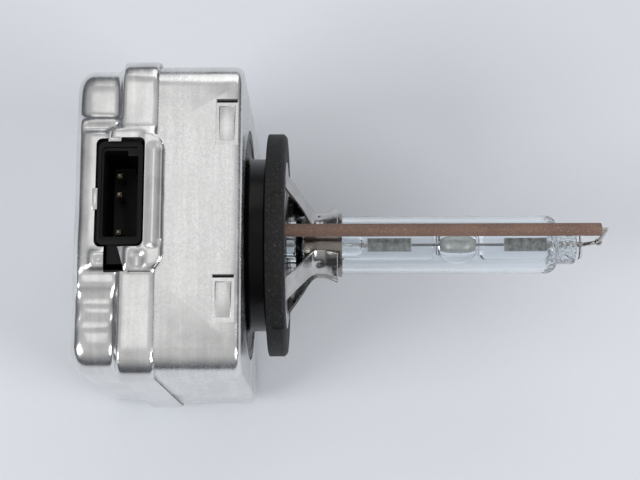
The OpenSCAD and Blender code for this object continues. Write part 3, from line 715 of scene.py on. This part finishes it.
class BULB_OT_front_can(Step, bpy.types.Operator):
    """Shapes the front can: a drawn box with a round opening, latch pockets and a crease"""

    bl_idname = "bulb.front_can"
    bl_label = "Front Can"

    def execute(self, context):
        sizes = context.scene.bulb_sizes
        low, high = node_box("main_can")
        sheet, corner = sizes.sheet / MM, sizes.corner / MM
        front_edge, base_gap = 1.1, 0.15
        crease_back, crease_front, crease_deep = 1.95, 1.83, 0.07
        can = block(low, high)
        round_edges(can, lambda at, way: abs(way.x) > ALONG, corner, 10)
        round_edges(can, lambda at, way: at.x > high.x - NEAR and abs(way.x) < ACROSS, front_edge, 5)
        remove_faces(can, lambda at, normal: normal.x < -ALONG)
        modify(can, "SOLIDIFY", thickness=sheet, offset=-1, use_even_offset=True)
        opening = node_box("base_body")[1].y + base_gap
        combine(can, drum(high.x - 2, high.x + PAST, opening, sides=160))
        socket_low, socket_high = node_box("connector_receptacle")
        combine(can, block(
            (low.x - PAST, socket_low.y - 0.6, 10), (socket_high.x + 0.5, socket_high.y + 0.5, CLEAR_Z),
        ))
        for back, y in ((2.3, 13.9), (2.6, -12.4)):
            self.latch(can, high.x - back, y, high.z, sheet)
        combine(can, block(
            (high.x - crease_back, -9.0, high.z - crease_deep), (high.x - crease_front, 10.6, high.z + PAST),
        ))
        ease_edges(can, 0.05, 1, 50)
        finish_piece(can, "front_can", ["main_can"], "tin_can")
        return {"FINISHED"}

    def latch(self, can, x, y, face_z, sheet):
        """Tongue pressed below the face, cut free along its top and bent at its foot."""
        wide, tall, pocket_deep, foot_rise = 3.3, 7.0, 0.42, 0.3
        rib_side, rib_deep, rib_drop, rib_edge = 0.45, 0.8, 0.12, 0.22
        half, foot, top = wide / 2, y - tall / 2, y + tall / 2
        pocket = block((x - half, foot, face_z - pocket_deep), (x + half, top, face_z + PAST))
        move_edges(
            pocket, lambda at, way: at.z < face_z and at.y < foot + NEAR and abs(way.x) > ALONG, (0, 0, foot_rise),
        )
        combine(can, pocket)
        rib = block(
            (x - half + rib_side, foot + 0.6, face_z - rib_deep), (x + half - rib_side, top - 1.0, face_z - rib_drop),
        )
        round_edges(rib, lambda at, way: at.z > face_z - rib_drop - NEAR, rib_edge, 3)
        combine(can, rib, "UNION")
        combine(can, block(
            (x - half + 0.1, top - 0.45, face_z - 2 * sheet), (x + half - 0.1, top - 0.05, face_z + PAST),
        ))


class BULB_OT_rear_cover(Step, bpy.types.Operator):
    """Shapes the pressed rear cover: collar, flare, raised panel, frame and flap round the connector"""

    bl_idname = "bulb.rear_cover"
    bl_label = "Rear Cover"

    def execute(self, context):
        sizes = context.scene.bulb_sizes
        low, high = node_box("rear_cover")
        collar_z = -low.z
        inset, lap, collar_long, flare_end = 1.15, 4.7, 5.3, 6.1
        # share along X at which an edge still counts as one of the long corners, the flare's sloping ones included
        sloping = 0.3
        sheet, corner = sizes.sheet / MM, sizes.corner / MM
        collar_front = node_box("main_can")[0].x + lap
        collar_back, flare_back = collar_front - collar_long, collar_front - flare_end
        cover = block((low.x, low.y + inset, low.z + inset), (flare_back, high.y - inset, collar_z - inset))
        self.pull_collar(cover, flare_back, collar_back, collar_front, high.y, collar_z, inset)
        round_edges(cover, lambda at, way: abs(way.x) > sloping, corner, 8)
        round_edges(cover, lambda at, way: at.x < low.x + NEAR and abs(way.x) < ACROSS, sizes.back_edge / MM, 6)
        round_edges(cover, lambda at, way: at.x > collar_front - NEAR and abs(way.x) < ACROSS, 0.65, 3)
        self.press_panel(cover, low.x, flare_back, collar_z - inset)
        self.press_frame(cover, collar_z, sizes.frame_rise / MM)
        self.soften(cover, sizes)
        remove_faces(cover, lambda at, normal: at.x > collar_front - 0.3 and normal.x > 0.85)
        modify(cover, "SOLIDIFY", thickness=sheet, offset=-1, use_even_offset=False)
        self.open_socket(cover)
        finish_piece(cover, "pressed_cover", ["rear_cover"], "tin_cover", math.radians(40))
        return {"FINISHED"}

    def pull_collar(self, cover, flare_back, collar_back, collar_front, half_y, half_z, inset):
        """Draws the flare and the collar out of the cover's open side."""
        edit(cover, "FACE")
        pick_faces(cover, lambda at, normal: normal.x > ALONG)
        bpy.ops.mesh.extrude_region_move(TRANSFORM_OT_translate={"value": (collar_back - flare_back, 0, 0)})
        bpy.ops.transform.resize(
            value=(1, half_y / (half_y - inset), half_z / (half_z - inset)), center_override=(collar_back, 0, 0),
        )
        bpy.ops.mesh.extrude_region_move(TRANSFORM_OT_translate={"value": (collar_front - collar_back, 0, 0)})
        done()

    def press_panel(self, cover, back_x, flare_back, face_z):
        """Raises the panel round the connector, with a groove across its top and steps below it."""
        panel = block((back_x + 0.3, -8.6, face_z - 4), (flare_back + 0.6, 14.6, face_z + 0.75))
        round_edges(
            panel, lambda at, way: at.z > face_z and at.x < back_x + 1 and abs(way.y) > ALONG, 2.2, 5,
        )
        round_edges(panel, lambda at, way: at.z > face_z and abs(way.x) > ALONG, 0.7, 3)
        combine(cover, panel, "UNION")
        pad = block((back_x + 0.9, -11.3, face_z - 3), (flare_back + 0.2, -8.9, face_z + 0.45))
        round_edges(pad, lambda at, way: at.z > face_z, 0.4, 3)
        combine(cover, pad, "UNION")
        # ends along X, place along Y, radius, and how far the middle stands over the face
        grooves = ((back_x + 1.4, flare_back + 0.1, 13.1, 0.95, 1.15), (back_x + 1.0, flare_back, -8.75, 0.5, 0.85))
        for from_x, to_x, y, radius, rise in grooves:
            combine(cover, drum(from_x, to_x, radius, (y, face_z + rise), 32))
        step_deep = 0.22
        steps = ((back_x + 0.2, flare_back + 0.1, -12.6, 3.6), (back_x + 1, flare_back, -16.0, 4.2))
        for from_x, to_x, y, radius in steps:
            combine(cover, drum(from_x, to_x, radius, (y, face_z + radius - step_deep), 64))

    def press_frame(self, cover, face_z, rise):
        """Raises the frame beside and above the connector, and the flap that it ends in."""
        side = block((-20.4, -6.6, face_z - 1), (-17.2, 12.0, face_z + rise))
        round_edges(side, lambda at, way: abs(way.z) > ALONG and at.x > -18 and at.y > 10, 2.2, 6)
        round_edges(side, lambda at, way: at.z > face_z and at.x > -17.4, 0.45, 3)
        combine(cover, side, "UNION")
        trough(cover, -18.75, face_z + rise + 1.35, 1.75, -5.4, 10.4)
        top = block((-25.0, 11.0, face_z - 1.4), (-18.5, 13.0, face_z + rise * 0.55))
        round_edges(top, lambda at, way: at.z > face_z and at.y > 12.9, 0.5, 3)
        combine(cover, top, "UNION")
        flap = block((-22.6, -8.3, face_z - 1), (-17.4, -5.0, face_z + rise))
        round_edges(flap, lambda at, way: abs(way.z) > ALONG and at.x > -18 and at.y < -8, 2.1, 4)
        round_edges(flap, lambda at, way: at.z > face_z and at.y < -8, 0.5, 3)
        combine(cover, flap, "UNION")
        trough(cover, -20.9, face_z + rise + 1.15, 1.65, -8.2, -5.6)
        ear = block((-28.0, -8.1, face_z - 3), (-25.3, -5.3, face_z + 0.1))
        round_edges(ear, lambda at, way: at.z > face_z, 0.6, 3)
        combine(cover, ear, "UNION")
        select_only()
        bpy.ops.mesh.primitive_uv_sphere_add(
            segments=24, ring_count=12, radius=0.9, location=(-26.5, -6.9, face_z + 0.62),
        )
        combine(cover, bpy.context.object)

    def soften(self, cover, sizes):
        """Runs the pressed shapes into each other, as drawn sheet does, and dents them a little."""
        modify(cover, "REMESH", mode="VOXEL", voxel_size=sizes.cover_grid / MM, adaptivity=0.0)
        modify(cover, "SMOOTH", factor=0.5, iterations=3)
        dents = bpy.data.textures.new("sheet_dents", "CLOUDS")
        dents.noise_scale = 8.0
        dents.noise_depth = 1
        modify(cover, "DISPLACE", texture=dents, texture_coords="LOCAL", strength=sizes.dent / MM, mid_level=0.85)
        low, high = node_box("rear_cover")
        place_vertices(cover, lambda at: Vector(max(a, min(b, c)) for a, b, c in zip(low, high, at)))

    def open_socket(self, cover):
        """Cuts the connector's opening, and the notch below it for the plug's guide."""
        socket_low, socket_high = node_box("connector_receptacle")
        mouth_low, mouth_high = -4.55, 10.95
        hole = block(
            (socket_low.x - 0.3, mouth_low - 0.35, 12), (socket_high.x + 0.35, mouth_high + 0.4, CLEAR_Z),
        )
        round_edges(hole, lambda at, way: abs(way.z) > ALONG, 0.9, 5)
        combine(cover, hole)
        notch = block((-25.8, -8.6, 12), (-24.1, -4.0, CLEAR_Z))
        move_edges(notch, lambda at, way: abs(way.z) > ALONG and at.x > -25 and at.y < -8, (1.4, 0, 0))
        combine(cover, notch)
        combine(cover, block((-22.2, -8.8, 20), (-19.0, -8.45, CLEAR_Z)))
        tabs = (((-25.5, 10.8, 23.1), (-23.6, 12.4, 23.55)), ((-27.7, 0.6, 23.08), (-26.9, 3.8, 23.4)))
        for ends in tabs:
            tab = block(*ends)
            ease_edges(tab, 0.12, 2)
            combine(cover, tab, "UNION")


class BULB_OT_connector(Step, bpy.types.Operator):
    """Shapes the plug socket with its key step and guide wedge, and finishes its contacts"""

    bl_idname = "bulb.connector"
    bl_label = "Connector"

    def execute(self, context):
        low, high = node_box("connector_receptacle")
        middle = Vector(((low.x + high.x) / 2, 3.2, 0))
        half_y, depth, back_wall = 7.75, 11, 1.6
        floor_z = high.z - depth
        body = block((low.x, middle.y - half_y, floor_z - back_wall), (high.x, middle.y + half_y, high.z))
        round_edges(body, lambda at, way: abs(way.z) > ALONG, 0.9, 5)
        wedge = block(
            (-25.5, low.y + 0.1, high.z - 3), (-24.0, middle.y - half_y + 0.5, high.z - 0.4),
        )
        move_edges(wedge, lambda at, way: abs(way.z) > ALONG and at.x > -25 and at.y < -7, (1.0, 0, 0))
        combine(body, wedge, "UNION")
        side_wall, end_wall = 0.8, 1.3
        cavity = block(
            (low.x + side_wall, middle.y - half_y + end_wall, floor_z),
            (high.x - side_wall, middle.y + half_y - end_wall, CLEAR_Z),
        )
        round_edges(cavity, lambda at, way: abs(way.z) > ALONG, 0.4, 3)
        key = block(
            (high.x - 2.3, middle.y + half_y - 2.1, floor_z - PAST), (high.x, middle.y + half_y, CLEAR_Z + PAST),
        )
        combine(cavity, key)
        combine(body, cavity)
        side_lip, end_lip = 0.5, 0.85
        lead_in = block(
            (low.x + side_lip, middle.y - half_y + end_lip, high.z - side_lip),
            (high.x - side_lip, middle.y + half_y - end_lip, CLEAR_Z),
        )
        round_edges(lead_in, lambda at, way: abs(way.z) > ALONG, 0.5, 3)
        combine(body, lead_in)
        slot = 0.36
        for node in CONTACTS:
            pin_x, pin_y = self.pin_place(node, middle)
            combine(body, block(
                (pin_x - slot, pin_y - slot, floor_z - 3), (pin_x + slot, pin_y + slot, floor_z + PAST),
            ))
        foot_x, foot_half = 1.5, 0.7
        for side in (-1, 1):
            foot_y = middle.y + side * (half_y - 1)
            combine(body, block(
                (middle.x - foot_x, foot_y - foot_half, low.z), (middle.x + foot_x, foot_y + foot_half, floor_z - 1),
            ), "UNION")
        ease_edges(body, 0.2, 3, 45)
        finish_piece(body, "plug_socket", ["connector_receptacle"], "socket_black")
        for node in CONTACTS:
            dress_node(node, "tinned_brass")
        return {"FINISHED"}

    def pin_place(self, node, middle):
        """Where a contact's pin stands along X and Y: its strip runs to one side of the pin."""
        low, high = node_box(node)
        strip_half, pitch = 0.6, 2.9
        places = (middle.y + 1.5 * pitch, middle.y + 0.5 * pitch, middle.y - 1.5 * pitch)
        return low.x + strip_half, min(
            places, key=lambda y: min(abs(low.y + strip_half - y), abs(high.y - strip_half - y)),
        )


# ---------- base and ring ----------


class BULB_OT_base(Step, bpy.types.Operator):
    """Turns the glossy base: disc in the can's opening, neck and spigot"""

    bl_idname = "bulb.base"
    bl_label = "Base"

    def execute(self, context):
        low, high = node_box("base_body")
        ring_back = node_box("reference_ring")[0].x
        disc_r, neck_r, spigot_r, boss_r = high.y, 13.75, 10.9, 4.0
        disc_front = node_box("main_can")[1].x
        disc_back = disc_front - 1.63
        tail_r, stem_r, bore_r = 3.93, 2.43, 1.25
        bore_end = low.x + 2.8
        seat_x = node_box("outer_bulb")[0].x - 0.1
        points = [(low.x, bore_r), (low.x, boss_r), (disc_back, boss_r)]
        points += [(disc_back, disc_r - 0.1), (disc_back + 0.1, disc_r)]
        points += arc((disc_front - 0.35, disc_r - 0.35), (0.35, 0.35), 90, 0, 4)
        sunk_x = disc_front - 0.18
        points += [(disc_front, disc_r - 1.1), (sunk_x, disc_r - 1.3), (sunk_x, neck_r + 1.2)]
        points += arc((disc_front + 0.82, neck_r + 1.0), (1.0, 1.0), 180, 270, 6)
        points += [(ring_back - 0.5, neck_r)]
        points += arc((ring_back - 0.4, neck_r - 0.4), (0.38, 0.4), 90, 0, 4)
        points += [(ring_back - 0.02, spigot_r), (-0.3, spigot_r)]
        points += arc((-0.3, spigot_r - 0.3), (0.3, 0.3), 90, 0, 4)
        points += [(0, tail_r + 0.3), (-0.3, tail_r)]
        points += [(seat_x, tail_r), (seat_x, stem_r), (bore_end, stem_r), (bore_end, bore_r)]
        base = turned(points)
        rod_low, rod_high = node_box("ceramic_tube")
        rod_y, rod_z = (rod_low.y + rod_high.y) / 2, (rod_low.z + rod_high.z) / 2
        combine(base, drum(rod_low.x - 0.02, 1, 1.05, (rod_y, rod_z), 48))
        combine(base, drum(low.x - 1, 1, 0.35, (rod_y, rod_z), 32))
        finish_piece(base, "base_moulding", ["base_body"], "gloss_black")
        return {"FINISHED"}


class BULB_OT_ring(Step, bpy.types.Operator):
    """Turns the grained reference ring and cuts its notches"""

    bl_idname = "bulb.ring"
    bl_label = "Reference Ring"

    def execute(self, context):
        low, high = node_box("reference_ring")
        outer, inner, pocket = high.y, 10.95, 13.4
        back = low.x
        points = [(back, inner), (back, outer - 0.2)]
        points += arc((back + 0.2, outer - 0.2), (0.2, 0.2), 180, 90, 3)
        points += [(-0.5, outer), (-0.42, outer - 0.03), (-0.04, outer - 0.42), (0, outer - 0.5)]
        points += [(0, pocket + 0.1), (-0.1, pocket), (-0.52, pocket), (-0.52, inner)]
        ring = turned(points, steps=160)
        for turn in (9.5, -52.0):
            notch = block((-1.9, -1.8, outer - 0.3), (1, 1.8, outer + 1))
            round_edges(notch, lambda at, way: abs(way.z) > ALONG and at.x < 0, 0.4, 3)
            notch.rotation_euler = (math.radians(-turn), 0, 0)
            apply_place(notch)
            combine(ring, notch)
        finish_piece(ring, "grained_ring", ["reference_ring"], "grained_grey", math.radians(25))
        return {"FINISHED"}


# ---------- burner holder ----------


class BULB_OT_holder_ring(Step, bpy.types.Operator):
    """Turns the ring that the legs are welded to"""

    bl_idname = "bulb.holder_ring"
    bl_label = "Holder Ring"

    def execute(self, context):
        low, high = node_box("holder_ring")
        inner = 10.95
        points = [(low.x, inner), (low.x, high.y - 0.05), (low.x + 0.06, high.y), (-0.1, high.y)]
        points += [(-0.02, high.y - 0.08), (0, high.y - 0.3), (0, inner + 0.25), (-0.1, inner + 0.05), (-0.2, inner)]
        ring = turned(points)
        finish_piece(ring, "holder_ring_sheet", ["holder_ring"], "spring_sheet")
        return {"FINISHED"}


class BULB_OT_legs(Step, bpy.types.Operator):
    """Bends one leg from sheet, then turns a copy into each of the four places"""

    bl_idname = "bulb.legs"
    bl_label = "Legs"

    def execute(self, context):
        sizes = context.scene.bulb_sizes
        weld_x, weld_spread, weld_deep = 5.1, 0.3, 0.16
        seat = 5.0
        front = node_box("clamp_band")[1].x
        leaf, sheet = sizes.leaf / MM, sizes.leg_sheet / MM
        # distance along X, distance from the axis, width, and how far the sheet curls round the bulb
        stations = [
            (0.05, 13.1, 4.4, 0.0), (0.05, 12.3, 4.4, 0.0), (0.25, 11.55, 4.3, 0.0), (0.95, 10.4, 4.1, 0.0),
            (1.9, 8.85, 3.9, 0.05), (2.8, 7.35, 3.9, 0.2), (3.5, 6.1, 4.2, 0.5), (4.1, 5.35, 4.6, 0.9),
            (4.75, seat, 4.7, 1.0), (5.4, seat, 4.7, 1.0), (6.1, seat + 0.08, leaf, 1.0),
            (7.0, seat + 0.36, leaf, 0.9), (front - 0.75, seat + 0.74, leaf - 0.1, 0.7),
        ]
        select_only()
        bpy.ops.mesh.primitive_grid_add(x_subdivisions=84, y_subdivisions=24, size=1, location=(0, 0, 0))
        leg = bpy.context.object

        def bend(at):
            x, height, wide, curl = smooth_path(stations, at.x + 0.5)
            across = at.y * wide
            weld = math.exp(-((x - weld_x) ** 2 + across ** 2) / weld_spread)
            flat = Vector((x, across, height))
            turn = across / max(height, 1)
            curled = Vector((x, height * math.sin(turn), height * math.cos(turn)))
            bent = flat.lerp(curled, curl)
            bent.z += sheet - weld_deep * weld
            return bent

        place_vertices(leg, bend)
        modify(leg, "SOLIDIFY", thickness=sheet, offset=-1, use_even_offset=False)
        edit(leg, "FACE")
        bpy.ops.mesh.select_all(action="SELECT")
        bpy.ops.mesh.normals_make_consistent(inside=False)
        done()
        ease_edges(leg, 0.05, 2, 60)
        places = {"upper_front": 45, "lower_front": -45, "lower_back": -135, "upper_back": 135}
        for name, turn in places.items():
            piece = copy_of(leg)
            piece.rotation_euler = (math.radians(-turn), 0, 0)
            apply_place(piece)
            finish_piece(piece, f"bent_leg_{name}", [f"leg_{name}"], "spring_sheet")
        bpy.data.objects.remove(leg)
        return {"FINISHED"}


class BULB_OT_clamp_band(Step, bpy.types.Operator):
    """Turns the clamp band, its front edge rolled out a little"""

    bl_idname = "bulb.clamp_band"
    bl_label = "Clamp Band"

    def execute(self, context):
        low, high = node_box("clamp_band")
        sheet = 0.3
        inner = high.y - sheet
        points = [(low.x, inner + 0.05), (low.x + 0.05, inner), (high.x - 0.7, inner)]
        points += [(high.x - 0.25, inner + 0.05)]
        points += [(high.x, inner + 0.2), (high.x, inner + sheet + 0.12), (high.x - 0.12, inner + sheet + 0.14)]
        points += [(high.x - 0.4, inner + sheet + 0.04), (high.x - 0.8, inner + sheet), (low.x + 0.1, inner + sheet)]
        points += [(low.x, inner + sheet - 0.05)]
        band = turned(points)
        # Its finish is the spring sheet darkened to paint the band's dark reflection.
        finish_piece(band, "clamp_band_sheet", ["clamp_band"], "band_sheet")
        return {"FINISHED"}


# ---------- glass ----------


class BULB_OT_outer_bulb(Step, bpy.types.Operator):
    """Turns the outer bulb, open at its tail and closed at its tip"""

    bl_idname = "bulb.outer_bulb"
    bl_label = "Outer Bulb"

    def execute(self, context):
        low, high = node_box("outer_bulb")
        outer, tail, tip, wall, stem = high.y, 3.9, 3.15, 0.8, 2.43
        inner = outer - wall
        back, front = 3.0, high.x - 4.7
        points = [(low.x + 0.15, tail - 0.1), (low.x + 0.3, tail)]
        points += arc((back, tail), (1.6, outer - tail), 180, 90, 10)
        points += arc((front, tip), (1.7, outer - tip), 90, 0, 12)
        points += [(high.x - 0.5, tip)]
        points += arc((high.x - 0.45, tip - 0.45), (0.45, 0.45), 90, 0, 5)
        points += [(high.x, stem + 0.05), (high.x - 0.1, stem)]
        points += arc((front - 0.4, stem), (1.7, inner - stem), 0, 90, 12)
        points += arc((back + 0.4, stem), (1.4, inner - stem), 90, 180, 10)
        points += [(low.x + 0.05, stem), (low.x, stem + 0.1), (low.x, tail - 0.3)]
        bulb = turned(points, steps=160)
        finish_piece(bulb, "outer_glass_bulb", ["outer_bulb"], "outer_glass")
        return {"FINISHED"}


class BULB_OT_arc_tube(Step, bpy.types.Operator):
    """Turns the arc tube with its seals, its chamber and the hollow in it"""

    bl_idname = "bulb.arc_tube"
    bl_label = "Arc Tube"

    def execute(self, context):
        low, high = node_box("arc_tube")
        salts_low, salts_high = node_box("halide_salts")
        centre = (salts_low.x + salts_high.x) / 2
        seal, chamber = 2.4, high.y
        # distance from the chamber's middle and radius, from the waist out to the seal
        waist = [(3.05, 1.7), (3.25, 1.66), (3.45, 1.7), (3.62, 1.86), (3.78, 2.1)]
        waist += [(3.98, 2.28), (4.2, 2.37), (4.5, seal)]
        reach = 3.45
        dome = [(d, chamber * math.sqrt(1 - (d / reach) ** 2)) for d in (2.88, 2.7, 2.4, 2.0, 1.5, 1.0, 0.5)]
        front = [(centre + d, r) for d, r in reversed(dome)] + [(centre + d, r) for d, r in waist]
        rear = [(centre - d, r) for d, r in reversed(waist)] + [(centre - d, r) for d, r in dome]
        points = [(low.x, 0), (low.x, seal - 0.15), (low.x + 0.15, seal)] + rear + [(centre, chamber)] + front
        points += [(high.x - 0.4, seal)]
        points += arc((high.x - 0.4, seal - 0.4), (0.4, 0.4), 80, 0, 5) + [(high.x, 0)]
        tube = turned(points, closed=False)
        hollow = turned(barrel(centre, 2.85, 1.42), closed=False, steps=64)
        combine(tube, hollow)
        foil_x, stem_bore = node_box("foil_back")[0].x, 1.4
        bore = [(low.x - PAST, 0), (low.x - PAST, stem_bore), (foil_x - 1.6, stem_bore), (foil_x - 0.8, 0.9)]
        combine(tube, turned(bore + [(foil_x - 0.5, 0)], closed=False, steps=64))
        finish_piece(tube, "quartz_arc_tube", ["arc_tube"], "inner_quartz")
        return {"FINISHED"}


class BULB_OT_salts(Step, bpy.types.Operator):
    """Turns the thin crust of salts on the wall of the chamber"""

    bl_idname = "bulb.salts"
    bl_label = "Salts"

    def execute(self, context):
        low, high = node_box("halide_salts")
        centre = (low.x + high.x) / 2
        outside = barrel(centre, 2.82, 1.39)[1:-1]
        inside = barrel(centre, 2.68, 1.25)[1:-1]
        crust = turned(outside + inside[::-1], steps=64)
        finish_piece(crust, "salt_crust", ["halide_salts"], "salts")
        return {"FINISHED"}


class BULB_OT_sealed_metal(Step, bpy.types.Operator):
    """Finishes the electrodes, foils and leads sealed in the arc tube"""

    bl_idname = "bulb.sealed_metal"
    bl_label = "Sealed Metal"

    def execute(self, context):
        for kind, finish in (("electrode", "tungsten"), ("foil", "molybdenum"), ("lead", "nickel_wire")):
            for end in ("front", "back"):
                dress_node(f"{kind}_{end}", finish)
        return {"FINISHED"}


class BULB_OT_return_path(Step, bpy.types.Operator):
    """Turns the brown ceramic tube and finishes the wire that runs through it"""

    bl_idname = "bulb.return_path"
    bl_label = "Return Path"

    def execute(self, context):
        low, high = node_box("ceramic_tube")
        outer, bore = (high.y - low.y) / 2, 0.34
        points = [(low.x, bore), (low.x, outer - 0.1), (low.x + 0.1, outer)]
        points += [(low.x + (high.x - low.x) * i / 8, outer) for i in range(1, 8)]
        points += arc((high.x - 0.18, outer - 0.18), (0.18, 0.18), 90, 0, 4)
        points += [(high.x, bore + 0.12), (high.x - 0.12, bore)]
        tube = turned(points, steps=64)
        tube.location = (0, (low.y + high.y) / 2, (low.z + high.z) / 2)
        apply_place(tube)
        finish_piece(tube, "brown_ceramic_tube", ["ceramic_tube"], "brown_ceramic")
        dress_node("return_wire", "nickel_wire")
        return {"FINISHED"}


class BULB_OT_igniter(Step, bpy.types.Operator):
    """Finishes the parts of the igniter inside the box"""

    bl_idname = "bulb.igniter"
    bl_label = "Igniter"

    def execute(self, context):
        finishes = {
            "high_voltage_terminal": "tinned_brass",
            "high_voltage_lead": "bare_copper",
            "igniter_housing": "housing_black",
            "carrier_plate": "board",
            "transformer_core": "ferrite",
            "transformer_bobbin": "bobbin_cream",
            "secondary_winding": "fine_winding",
            "primary_winding": "thick_winding",
            "spark_gap_body": "white_ceramic",
            "spark_gap_caps": "cap_metal",
            "pulse_capacitor": "capacitor_red",
            "bleed_resistor": "resistor",
        }
        for node, finish in finishes.items():
            dress_node(node, finish)
        return {"FINISHED"}


# ---------- stage ----------


class BULB_OT_stage(Step, bpy.types.Operator):
    """Lays the pale floor, hangs the soft lights and sets the camera"""

    bl_idname = "bulb.stage"
    bl_label = "Stage"

    def execute(self, context):
        scene = context.scene
        stage = scene.bulb_stage
        floor_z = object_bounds()[0].z
        select_only()
        bpy.ops.mesh.primitive_plane_add(size=3, location=(0, 0, floor_z))
        floor = apply_place(bpy.context.object)
        floor.name = "floor"
        floor.data.materials.append(dressed("floor"))
        floor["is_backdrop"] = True
        self.sky(scene, stage.sky)
        side_power, edge_power = stage.fill_power * 0.6, stage.fill_power * 0.25
        self.softbox("key", (-0.09, 0.20, 0.80), 0.26, stage.key_power)
        self.softbox("left", (-0.50, -0.20, 0.42), 0.30, side_power)
        self.softbox("right", (0.52, -0.22, 0.42), 0.30, side_power)
        self.softbox("edge", (0.12, 0.55, 0.34), 0.45, edge_power)
        self.camera(scene, stage.lens)
        scene.view_settings.view_transform = "Standard"
        return {"FINISHED"}

    def sky(self, scene, strength):
        """Light from all round, darker near the horizon, as in a room with a soft ceiling."""
        world = bpy.data.worlds.new("room")
        scene.world = world
        world.use_nodes = True
        tree = world.node_tree
        back = tree.nodes["Background"]
        back.inputs["Strength"].default_value = strength
        place = tree.nodes.new("ShaderNodeTexCoord")
        split = tree.nodes.new("ShaderNodeSeparateXYZ")
        ramp = tree.nodes.new("ShaderNodeValToRGB")
        stops = ((0.0, (0.10, 0.105, 0.12, 1)), (0.35, (0.28, 0.29, 0.32, 1)), (0.9, (1, 1, 1, 1)))
        ramp.color_ramp.elements.new(0.5)
        for element, (at, tone) in zip(ramp.color_ramp.elements, stops):
            element.position = at
            element.color = tone
        tree.links.new(place.outputs["Generated"], split.inputs["Vector"])
        tree.links.new(split.outputs["Z"], ramp.inputs["Fac"])
        tree.links.new(ramp.outputs["Color"], back.inputs["Color"])

    def softbox(self, name, place, size, power):
        light = bpy.data.lights.new(name, "AREA")
        light.shape = "SQUARE"
        light.size = size
        light.energy = power
        lamp = bpy.data.objects.new(name, light)
        lamp.location = place
        lamp.rotation_euler = Vector(place).to_track_quat("Z", "Y").to_euler()
        bpy.context.scene.collection.objects.link(lamp)

    def camera(self, scene, lens):
        """Camera above the part, tilted as in the view that the part is known by."""
        data = bpy.data.cameras.new("camera")
        data.lens = lens
        data.sensor_width = 36
        data.clip_start, data.clip_end = 0.01, 10
        eye = bpy.data.objects.new("camera", data)
        place = Matrix.Translation((0.008231, -0.048253, 0.235552))
        y_turn, x_turn, z_turn = (Matrix.Rotation(by, 4, axis) for by, axis in CAMERA_TURNS)
        eye.matrix_world = place @ (y_turn @ x_turn @ z_turn)
        scene.collection.objects.link(eye)
        scene.camera = eye


class BULB_PT_panel(bpy.types.Panel):
    """Sidebar panel with the settings and the steps of the build"""

    bl_idname = "BULB_PT_panel"
    bl_label = "Headlight Bulb"
    bl_space_type = "VIEW_3D"
    bl_region_type = "UI"
    bl_category = "Headlight Bulb"

    def draw(self, context):
        layout = self.layout
        for group in (context.scene.bulb_sizes, context.scene.bulb_looks, context.scene.bulb_stage):
            box = layout.box()
            for name in group.__annotations__:
                box.prop(group, name)
        column = layout.column(align=True)
        for step in STEPS:
            column.operator(step.bl_idname)


STEPS = (
    BULB_OT_front_can,
    BULB_OT_rear_cover,
    BULB_OT_connector,
    BULB_OT_base,
    BULB_OT_ring,
    BULB_OT_holder_ring,
    BULB_OT_legs,
    BULB_OT_clamp_band,
    BULB_OT_outer_bulb,
    BULB_OT_arc_tube,
    BULB_OT_salts,
    BULB_OT_sealed_metal,
    BULB_OT_return_path,
    BULB_OT_igniter,
    BULB_OT_stage,
)
GROUPS = {"bulb_sizes": BulbSizes, "bulb_looks": BulbLooks, "bulb_stage": BulbStage}
CLASSES = (*GROUPS.values(), *STEPS, BULB_PT_panel)


def register():
    for entry in CLASSES:
        bpy.utils.register_class(entry)
    for name, group in GROUPS.items():
        setattr(bpy.types.Scene, name, bpy.props.PointerProperty(type=group))


def unregister():
    for name in GROUPS:
        delattr(bpy.types.Scene, name)
    for entry in reversed(CLASSES):
        bpy.utils.unregister_class(entry)


def main():
    register()
    for step in STEPS:
        group, name = step.bl_idname.split(".")
        getattr(getattr(bpy.ops, group), name)()


if __name__ == "__main__":
    main()
